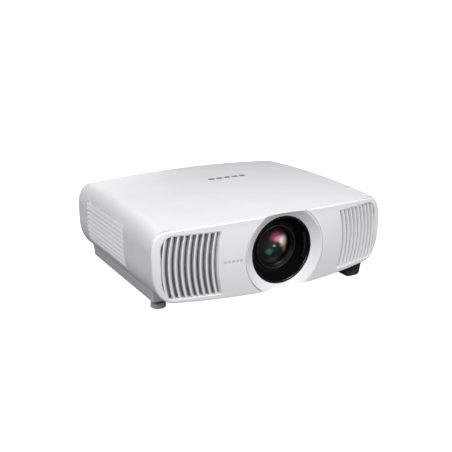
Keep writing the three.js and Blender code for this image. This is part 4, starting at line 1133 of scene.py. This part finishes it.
def onTop(bm, sink):
    # lays a flat piece, modelled with its upper face at height 0, on the crowned top
    for v in bm.verts:
        v.co.z += topZ(v.co.x, v.co.y) - sink
    return bm


def topInlay():
    (x0, x1), (y0, y1) = plateau["x"], plateau["y"]
    g = case["gap"] / 2
    bm = boxOf((x0 + g, y0 + g, -plateau["thick"]), (x1 - g, y1 - g, 0))
    softenWhere(bm, 0.3, 2, lambda e: all(v.co.z > -0.01 for v in e.verts))
    sliceEvery(bm, "x", x0, x1, 6)
    sliceEvery(bm, "y", y0, y1, 4)
    makePiece("top_inlay", onTop(bm, plateau["sink"]), "case", "satinPaintedShell",
              ["top_mark"])
    dashes = bmesh.new()
    for left, right, pitch in dashSpans(marks["topFrom"], marks["topTo"]):
        dash = boxOf((left, marks["topLow"], -marks["thick"]), (right, marks["topHigh"], 0), 2.4, 6,
                     lambda e: spanOf(e, 2) > 0.1)
        sliceEvery(dash, "x", left, left + pitch, 4)
        joinInto(dashes, dash)
    makePiece("top_dashes", onTop(dashes, plateau["sink"] - marks["proud"]), "case", "darkPadPrint")


def dashSpans(start, end):
    pitch = (end - start) / marks["count"]
    for order in range(marks["count"]):
        left = start + pitch * (order + 0.5 - marks["share"] / 2)
        yield left, left + pitch * marks["share"], pitch


def frontDashes():
    bm = bmesh.new()
    for left, right, pitch in dashSpans(marks["frontFrom"], marks["frontTo"]):
        joinInto(bm, boxOf((left, -marks["proud"], marks["frontLow"]),
                           (right, marks["thick"], marks["frontHigh"]), 1.2, 5, lambda e: spanOf(e, 1) > 0.1))
    for v in bm.verts:
        v.co.y += frontPlace(v.co.x, v.co.z)
    makePiece("front_dashes", bm, "case", "printedInlay")


def lampWindow():
    low, high = nodeBox("status_window")
    bm = boxOf((low[0] + 0.15, low[1] + 0.15, -2.8), (high[0] - 0.15, high[1] - 0.15, 0))
    softenWhere(bm, 0.4, 3, lambda e: all(v.co.z > -0.01 for v in e.verts))
    sliceEvery(bm, "x", low[0], high[0], 2)
    makePiece("lamp_window", onTop(bm, 0.08), "case", "smokedAcrylic", ["status_window"])


topInlay()
frontDashes()
lampWindow()
print("top and front marks shaped")


rear = {"back": rearEnd - recess["depth"], "face": 204, "wall": 2.5, "corner": 5,
        "screws": [(-186, 74), (-186, 136), (186, 74), (186, 136), (0, 74), (118, 136)],
        "ribs": 14, "ribFrom": -180, "ribPitch": 11, "ribWidth": 5, "ribLow": 78, "ribHigh": 102}


def insideCase(x, y, z):
    share = min(max((y - straightEnd) / case["rearCorner"][1], 0), 1)
    shrink = 1 - math.sqrt(1 - share ** 2)
    along = (y - frontEnd) / case["depth"]
    x /= 1 - shrink * case["rearCorner"][0] / halfWidth
    level = (z - middleHeight) / halfHeight
    up = z - middleHeight - crownRise(x, level, along)
    corner = case["topCorner"] if up > 0 else case["bottomCorner"]
    up /= 1 - shrink * min(corner[1], halfHeight * 0.9) / halfHeight
    over = max(abs(x) - halfWidth + corner[0], 0) / corner[0]
    above = max(abs(up) - halfHeight + corner[1], 0) / corner[1]
    return over ** 2 + above ** 2 < 1


def rearPlace(x, z):
    # depth at which the rounded rear of the case passes a point of the rear view
    near, far = 180.0, rearEnd
    if insideCase(x, far - 0.01, z):
        return far
    for _ in range(16):
        middle = (near + far) / 2
        near, far = (middle, far) if insideCase(x, middle, z) else (near, middle)
    return near


def roundedBox(halfX, low, high, corner, fromY, toY, steps=8):
    middle = (low + high) / 2
    halfZ = (high - low) / 2
    points = []
    for turn, (sx, sz) in enumerate(((1, 1), (-1, 1), (-1, -1), (1, -1))):
        points += arcPoints(sx * (halfX - corner), middle + sz * (halfZ - corner), corner, corner,
                            turn * math.pi / 2, steps)
    return prismOf(points, fromY, toY)


def screwHead(centre, axis, radius=3.1):
    # pan head with a cross recess
    profile = [(0, 1.5), (radius * 0.5, 1.4), (radius * 0.85, 0.9), (radius, 0.3), (radius, 0), (0, 0)]
    head = turnedPiece(profile, 32, (0, 0, 0), (0, 0, 1))
    for turn in (0, math.pi / 2):
        slot = boxOf((-radius * 0.6, -0.35, 0.6), (radius * 0.6, 0.35, 3))
        bmesh.ops.rotate(slot, cent=(0, 0, 0), matrix=Matrix.Rotation(turn, 3, "Z"), verts=slot.verts)
        head = combined(head, slot)
    turned = Vector((0, 0, 1)).rotation_difference(Vector(axis)).to_matrix().to_4x4()
    bmesh.ops.transform(head, matrix=Matrix.Translation(centre) @ turned, verts=head.verts)
    return head


def rearPanel():
    r = rear
    g = case["gap"] / 2
    wide, low, high, wall = recess["halfWidth"], recess["low"], recess["high"], r["wall"]
    bm = roundedBox(wide - g, low + g, high - g, 1.5, r["back"], 260, 3)
    bm = combined(bm, roundedBox(wide - wall, low + wall, high - wall, r["corner"], r["face"], 280))
    for name in connectors:
        low, high = nodeBox(name)
        bm = combined(bm, boxOf((low[0] - 0.3, 190, low[2] - 0.3), (high[0] + 0.3, 220, high[2] + 0.3)))
    splitLarge(bm)
    sliceEvery(bm, "x", -220, 220, 11)
    for v in bm.verts:
        if v.co.y > 250:
            v.co.y = rearPlace(v.co.x, v.co.z) - 0.15
    return makePiece("rear_panel_shell", bm, "case", "mouldedRearPanel", ["rear_panel"],
                     bevel=0.25)


def rearTrim():
    # a raised line round the sockets, blind ribs under them and the fixing screws
    r = rear
    bm = combined(roundedBox(112, 112, 136, 3, r["face"] - 0.5, r["face"] + 0.45),
                  roundedBox(110.9, 113.1, 134.9, 2.2, 190, 220))
    for order in range(r["ribs"]):
        x = r["ribFrom"] + order * r["ribPitch"]
        joinInto(bm, boxOf((x, r["face"] - 0.5, r["ribLow"]),
                           (x + r["ribWidth"], r["face"] + 0.7, r["ribHigh"]), 0.45, 3))
    makePiece("rear_trim", bm, "case", "mouldedRearPanel")
    screws = bmesh.new()
    for x, z in r["screws"]:
        joinInto(screws, screwHead((x, r["face"], z), (0, 1, 0)))
    makePiece("rear_screws", screws, "case", "nickelPlatedSteel")


connectors = ["hdmi_socket_1", "hdmi_socket_2", "usb_socket", "network_socket", "serial_socket",
              "trigger_socket", "power_inlet"]
metalSockets = ("hdmi_socket", "usb_socket", "serial_socket")
plug = {"wall": 0.7, "plasticWall": 1.4, "bevel": 0.25, "floor": 1.2, "serialFloor": 1.5}


def socketOutline(kind, halfX, halfZ, middle, inset):
    x, z = halfX - inset, halfZ - inset
    if kind == "hdmi_socket":
        points = [(-x, z), (-x, -z * 0.2), (-x * 0.78, -z), (x * 0.78, -z), (x, -z * 0.2), (x, z)]
    elif kind == "serial_socket":
        points = [(-x, z * 0.7), (-x * 0.96, z), (x * 0.96, z), (x, z * 0.7), (x * 0.9, -z * 0.8),
                  (x * 0.84, -z), (-x * 0.84, -z), (-x * 0.9, -z * 0.8)]
    elif kind == "power_inlet":
        points = [(-x, z * 0.45), (-x * 0.72, z), (x * 0.72, z), (x, z * 0.45), (x, -z), (-x, -z)]
    else:
        points = [(-x, z), (x, z), (x, -z), (-x, -z)]
    return [(middle[0] + px, middle[1] + pz) for px, pz in points]


def contactRow(bm, middle, count, pitch, size, fromY, toY, z):
    for order in range(count):
        x = middle + (order - (count - 1) / 2) * pitch
        joinInto(bm, boxOf((x - size / 2, fromY, z - size / 2), (x + size / 2, toY, z + size / 2)))


def triggerSocket(name, x, z, back, front):
    profile = [(2.0, front), (2.9, front), (3.4, front - 0.4), (3.4, back), (0, back), (0, back + 1),
               (1.75, back + 1), (1.75, front - 0.3), (2.0, front)]
    makePiece(name + "_shell", turnedPiece(profile, 48, (x, 0, z)), "case", "filledBlackNylon",
              [name])


def socketContacts(kind, x, z, back, front):
    # the tongue or block inside a socket, and its contacts or pins
    tongue = bmesh.new()
    pins = bmesh.new()
    if kind == "hdmi_socket":
        joinInto(tongue, boxOf((x - 5.4, back + 1, z - 0.5), (x + 5.4, front - 2.2, z + 0.7), 0.25, 2))
        contactRow(pins, x, 9, 1.1, 0.4, back + 1.1, front - 2.6, z - 0.55)
    elif kind == "usb_socket":
        joinInto(tongue, boxOf((x - 5.2, back + 1, z + 0.1), (x + 5.2, front - 1.6, z + 1.9), 0.3, 2))
        contactRow(pins, x, 4, 2.3, 0.7, back + 1.1, front - 2.2, z + 0.1)
    elif kind == "network_socket":
        joinInto(tongue, boxOf((x - 4.6, back + 1, z + 2.2), (x + 4.6, front - 4, z + 3.6), 0.2, 2))
        contactRow(pins, x, 8, 1.02, 0.35, back + 1.1, front - 3, z + 2.1)
    elif kind == "serial_socket":
        joinInto(tongue, boxOf((x - 6.6, back + 1, z - 2.6), (x + 6.6, back + 3.4, z + 2.6), 0.5, 2))
        contactRow(pins, x, 5, 2.7, 0.9, back + 3.2, front - 1.2, z + 1.3)
        contactRow(pins, x, 4, 2.7, 0.9, back + 3.2, front - 1.2, z - 1.3)
    else:
        joinInto(tongue, boxOf((x - 8, back + 1, z - 4.4), (x + 8, back + 2.4, z + 4.4), 0.5, 2))
        for pinX, pinZ in ((x - 6, z - 1.6), (x, z + 2.6), (x + 6, z - 1.6)):
            joinInto(pins, boxOf((pinX - 1, back + 2.2, pinZ - 2), (pinX + 1, front - 2.5, pinZ + 2), 0.4, 3))
    return tongue, pins


def connector(name):
    low, high = nodeBox(name)
    kind = name.rstrip("_12")
    x, z = midway(low, high, 0), midway(low, high, 2)
    halfX, halfZ = (high[0] - low[0]) / 2, (high[2] - low[2]) / 2
    back, front = low[1], high[1]
    if kind == "trigger_socket":
        triggerSocket(name, x, z, back, front)
        return
    metal = kind in metalSockets
    serial = kind == "serial_socket"
    outer = prismOf(socketOutline("plain" if serial else kind, halfX, halfZ, (x, z), 0), back, front)
    wall = plug["wall"] if metal else plug["plasticWall"]
    floor = plug["serialFloor"] if serial else plug["floor"]
    inner = prismOf(socketOutline(kind, halfX, halfZ, (x, z), wall), back + floor, front + 5)
    shell = combined(outer, inner)
    softenWhere(shell, plug["bevel"], 2, lambda e: all(v.co.y > front - 0.01 for v in e.verts)
                and e.calc_face_angle(0) > 0.5)
    makePiece(name + "_shell", shell, "case", "nickelPlatedSteel" if metal else "filledBlackNylon",
              [name])
    tongue, pins = socketContacts(kind, x, z, back, front)
    makePiece(name + "_tongue", tongue, "case", "paleNylon" if kind == "usb_socket" else "filledBlackNylon")
    makePiece(name + "_contacts", pins, "case", "nickelPlatedSteel")


def receiverWindow():
    low, high = nodeBox("receiver_window")
    back, front = low[1], high[1]
    radius = (high[0] - low[0]) / 2
    dome = [(radius * i / 8, front - 0.9 * (i / 8) ** 2) for i in range(8)]
    dome += [(radius - 0.2, front - 1.0), (radius - 0.2, back), (0, back)]
    bm = turnedPiece(dome, 64, (midway(low, high, 0), 0, midway(low, high, 2)))
    makePiece("receiver_lens", bm, "case", "darkAcrylic", ["receiver_window"])


rearPanel()
rearTrim()
for name in connectors:
    connector(name)
receiverWindow()
print("rear panel shaped")


door = {"round": 1.0, "lowerRound": 1.1, "scoop": 15, "scoopDeep": 1.3}


def controlDoor():
    # hinged lid with eased edges, a finger scoop at its upper edge and a rolled lower edge on the hinge line
    low, high = nodeBox("control_door")
    g = case["gap"] / 2
    leaf = boxOf((low[0], low[1] + g, low[2] + 0.05), (high[0] - 0.02, high[1] - g, high[2] - g))
    softenWhere(leaf, door["round"], 4, lambda e: spanOf(e, 0) > 1 and e.verts[0].co.z > 100)
    softenWhere(leaf, door["lowerRound"], 5,
                lambda e: all(v.co.z < low[2] + 0.1 for v in e.verts) and spanOf(e, 1) > 20)
    softenWhere(leaf, 0.3, 2,
                lambda e: all(v.co.x > high[0] - 0.1 for v in e.verts) and e.calc_face_angle(0) > 1)
    place = (high[0] + door["scoop"] - door["scoopDeep"], midway(low, high, 1), high[2] - 4)
    leaf = combined(leaf, rodAlong("z", place, door["scoop"], 8.5, 96, 1.2))
    makePiece("door_leaf", leaf, "control_door", "satinPaintedShell", ["control_door"],
              bevel=0.2)


def controlPlate():
    plateLow, plateHigh = nodeBox("control_plate")
    x, y, z = plateLow
    bm = boxOf((x + 0.02, y, z), plateHigh, 2.5, 4, lambda e: spanOf(e, 0) > 1)
    bm = combined(bm, boxOf((x + 2, y + 2, z + 2), (plateHigh[0] + 9, plateHigh[1] - 2, plateHigh[2] - 2),
                            1.5, 4, lambda e: spanOf(e, 0) > 1))
    for name in buttonNames:
        low, high = nodeBox(name)
        y, z = midway(low, high, 1), midway(low, high, 2)
        radius = (high[1] - low[1]) / 2
        bm = combined(bm, rodAlong("x", (x, y, z), radius + 0.3, 12, 40))
        bm = combined(bm, rodAlong("x", (x + 2.6, y, z), radius + 1.6, 2, 40))
    makePiece("button_tray", bm, "case", "softTouchButtons", ["control_plate"], bevel=0.15)


buttonNames = ["enter_button", "up_button", "down_button", "left_button", "right_button", "power_button",
               "menu_button", "back_button"]
signs = {"up_button": [(0, 1.4), (1.3, -0.8), (-1.3, -0.8)],
         "down_button": [(0, -1.4), (-1.3, 0.8), (1.3, 0.8)],
         "left_button": [(-1.4, 0), (0.8, 1.3), (0.8, -1.3)],
         "right_button": [(1.4, 0), (-0.8, -1.3), (-0.8, 1.3)],
         "menu_button": [(-1.5, -0.9), (1.5, -0.9), (1.5, 0.9), (-1.5, 0.9)]}


def buttonCap(name):
    low, high = nodeBox(name)
    y, z = midway(low, high, 1), midway(low, high, 2)
    radius = (high[1] - low[1]) / 2 - 0.02
    back, front = low[0], high[0]
    profile = [(0, front - 0.45), (radius * 0.5, front - 0.3), (radius - 0.9, front - 0.02),
               (radius - 0.35, front - 0.12), (radius, front - 0.6), (radius, back + 0.6), (radius - 0.5, back),
               (0, back)]
    makePiece(name + "_cap", turnedPiece(profile, 48, (0, y, z), (1, 0, 0)), name, "softTouchButtons",
              [name])
    # plain printed sign, read from the right where +Y is to the right
    if name in signs:
        outline = signs[name]
        if name in ("left_button", "right_button"):
            outline = [(-py, pz) for py, pz in outline]
        sign = prismOf(outline, -0.06, 0.5)
        turn = Matrix(((0, -1, 0, front - 0.42), (1, 0, 0, y), (0, 0, 1, z), (0, 0, 0, 1)))
        bmesh.ops.transform(sign, matrix=turn, verts=sign.verts)
        makePiece(name + "_sign", sign, name, "darkPadPrint")
    if name in ("power_button", "enter_button", "back_button"):
        ring = turnedPiece([(1.3, front - 0.3), (1.9, front - 0.26), (1.9, front - 0.5), (1.3, front - 0.5),
                            (1.3, front - 0.3)], 40, (0, y, z), (1, 0, 0))
        makePiece(name + "_sign", ring, name, "darkPadPrint")


controlDoor()
controlPlate()
for name in buttonNames:
    buttonCap(name)
print("door and buttons shaped")


under = {"screws": [(-205, -110), (205, -110), (-205, 100), (205, 100), (0, -120), (0, 165)],
         "bars": 16, "barFrom": -90, "barPitch": 12, "barHalf": 2.5, "barLow": 20, "barHigh": 90}


def underTrim():
    # fixing screws and raised blind vent bars on the recessed field of the pan
    bm = bmesh.new()
    for x, y in under["screws"]:
        joinInto(bm, screwHead((x, y, pan["under"] + 0.85), (0, 0, -1), 3.4))
    makePiece("pan_screws", bm, "case", "nickelPlatedSteel")
    bars = bmesh.new()
    for order in range(under["bars"]):
        x = under["barFrom"] + under["barPitch"] * order
        joinInto(bars, boxOf((x - under["barHalf"], under["barLow"], pan["under"] + 0.1),
                             (x + under["barHalf"], under["barHigh"], pan["under"] + 1.2), 0.5, 3))
    # the bars share the pan's greyer tone, painted shade
    makePiece("pan_bars", bars, "case", "mouldedPanPlastic")


underTrim()
print("underside shaped")


slotFinish = {
    "case_plastic": "satinPaintedShell", "button_plastic": "softTouchButtons",
    "black_plastic": "filledBlackNylon",
    "socket_metal": "nickelPlatedSteel", "smoked_window": "smokedAcrylic", "lens_glass": "rearCoatedGlass",
    "cast_aluminium": "castAluminium", "circuit_board": "solderMaskedBoard", "filter_foam": "openCellFoam",
    "foot_rubber": "mouldedRubber",
}
nodeSlots = {part["node"]: part["material_slot"] for part in frame["record"]["subparts"]}


def finishNodes():
    for name, node in frame["nodes"].items():
        finish = slotFinish.get(nodeSlots.get(name), "filledBlackNylon")
        node.data.materials.clear()
        node.data.materials.append(materials[finish])


finishNodes()
print("inner parts finished")


def stagePiece(name, bm, material):
    mesh = bpy.data.meshes.new(name)
    bm.to_mesh(mesh)
    bm.free()
    mesh.materials.append(material)
    piece = bpy.data.objects.new(name, mesh)
    bpy.context.scene.collection.objects.link(piece)
    return piece


# metres; the floor lies a hair under the feet
stage = {"floorHalf": 30, "floorDrop": 0.0003, "wallRadius": 28, "wallHeight": 40, "glow": 1.05}


def paleFloor():
    material, tree, shader, coords = newMaterial("palePaperFloor", {"Roughness": 0.9,
                                                                     "Emission Strength": stage["glow"]})
    shader.inputs["Emission Color"].default_value = (1, 1, 1, 1)
    grain = addNode(tree, "ShaderNodeTexNoise", {"Scale": perMm / 4, "Detail": 3}, {"Vector": coords})
    wireSurface(tree, shader, grain.outputs["Fac"], tint=("#fbfbfb", "#fefefe"))
    bm = bmesh.new()
    bmesh.ops.create_grid(bm, x_segments=4, y_segments=4, size=stage["floorHalf"])
    bmesh.ops.translate(bm, vec=(0, 0, -stage["floorDrop"]), verts=bm.verts)
    surround = bmesh.new()
    bmesh.ops.create_cone(surround, cap_ends=False, segments=64, radius1=stage["wallRadius"],
                          radius2=stage["wallRadius"], depth=stage["wallHeight"])
    bmesh.ops.reverse_faces(surround, faces=surround.faces)
    # floor and wall are bright to look at but light nothing
    for stageFloor in (stagePiece("floor", bm, material), stagePiece("studioWall", surround, material)):
        stageFloor.visible_diffuse = False
        stageFloor.visible_glossy = False
    bpy.data.objects["studioWall"].visible_shadow = False


lights = {
    "key": {"place": (-1.9, -2.0, 1.3), "size": 1.0, "power": 31},
    "brow": {"place": (0.5, -1.9, 2.0), "size": 1.0, "power": 54},
    "top": {"place": (-0.3, 0.3, 2.7), "size": 1.8, "power": 2},
    "left": {"place": (-1.9, 0.1, 1.8), "size": 0.9, "power": 22},
    "right": {"place": (2.6, 0.7, 0.6), "size": 1.6, "power": 9},
    "rear": {"place": (0.5, 2.8, 0.3), "size": 1.2, "power": 10},
}
lightAim = (0, 0, 0.1)
world = {"colour": (1, 1, 1, 1), "strength": 0.1}
camera = {"lens": 56.96, "sensor": 36, "far": 100, "place": (-0.73455, -1.27132, 0.55536),
          "towards": (0.4769, 0.8270, -0.2979)}


def placeHolder(name, data, place, towards):
    holder = bpy.data.objects.new(name, data)
    holder.location = place
    holder.rotation_euler = Vector(towards).to_track_quat("-Z", "Y").to_euler()
    bpy.context.scene.collection.objects.link(holder)
    return holder


def lightAndCamera():
    for name, look in lights.items():
        lamp = bpy.data.lights.new(name, "AREA")
        lamp.shape = "DISK"
        lamp.size = look["size"]
        lamp.energy = look["power"]
        placeHolder(name, lamp, look["place"], Vector(lightAim) - Vector(look["place"]))
    sky = bpy.data.worlds.new("studio")
    sky.use_nodes = True
    sky.node_tree.nodes["Background"].inputs["Color"].default_value = world["colour"]
    sky.node_tree.nodes["Background"].inputs["Strength"].default_value = world["strength"]
    bpy.context.scene.world = sky
    view = bpy.data.cameras.new("camera")
    view.lens = camera["lens"]
    view.sensor_width = camera["sensor"]
    view.clip_end = camera["far"]
    bpy.context.scene.camera = placeHolder("camera", view, camera["place"], camera["towards"])
    bpy.context.scene.view_settings.view_transform = "Standard"


paleFloor()
lightAndCamera()
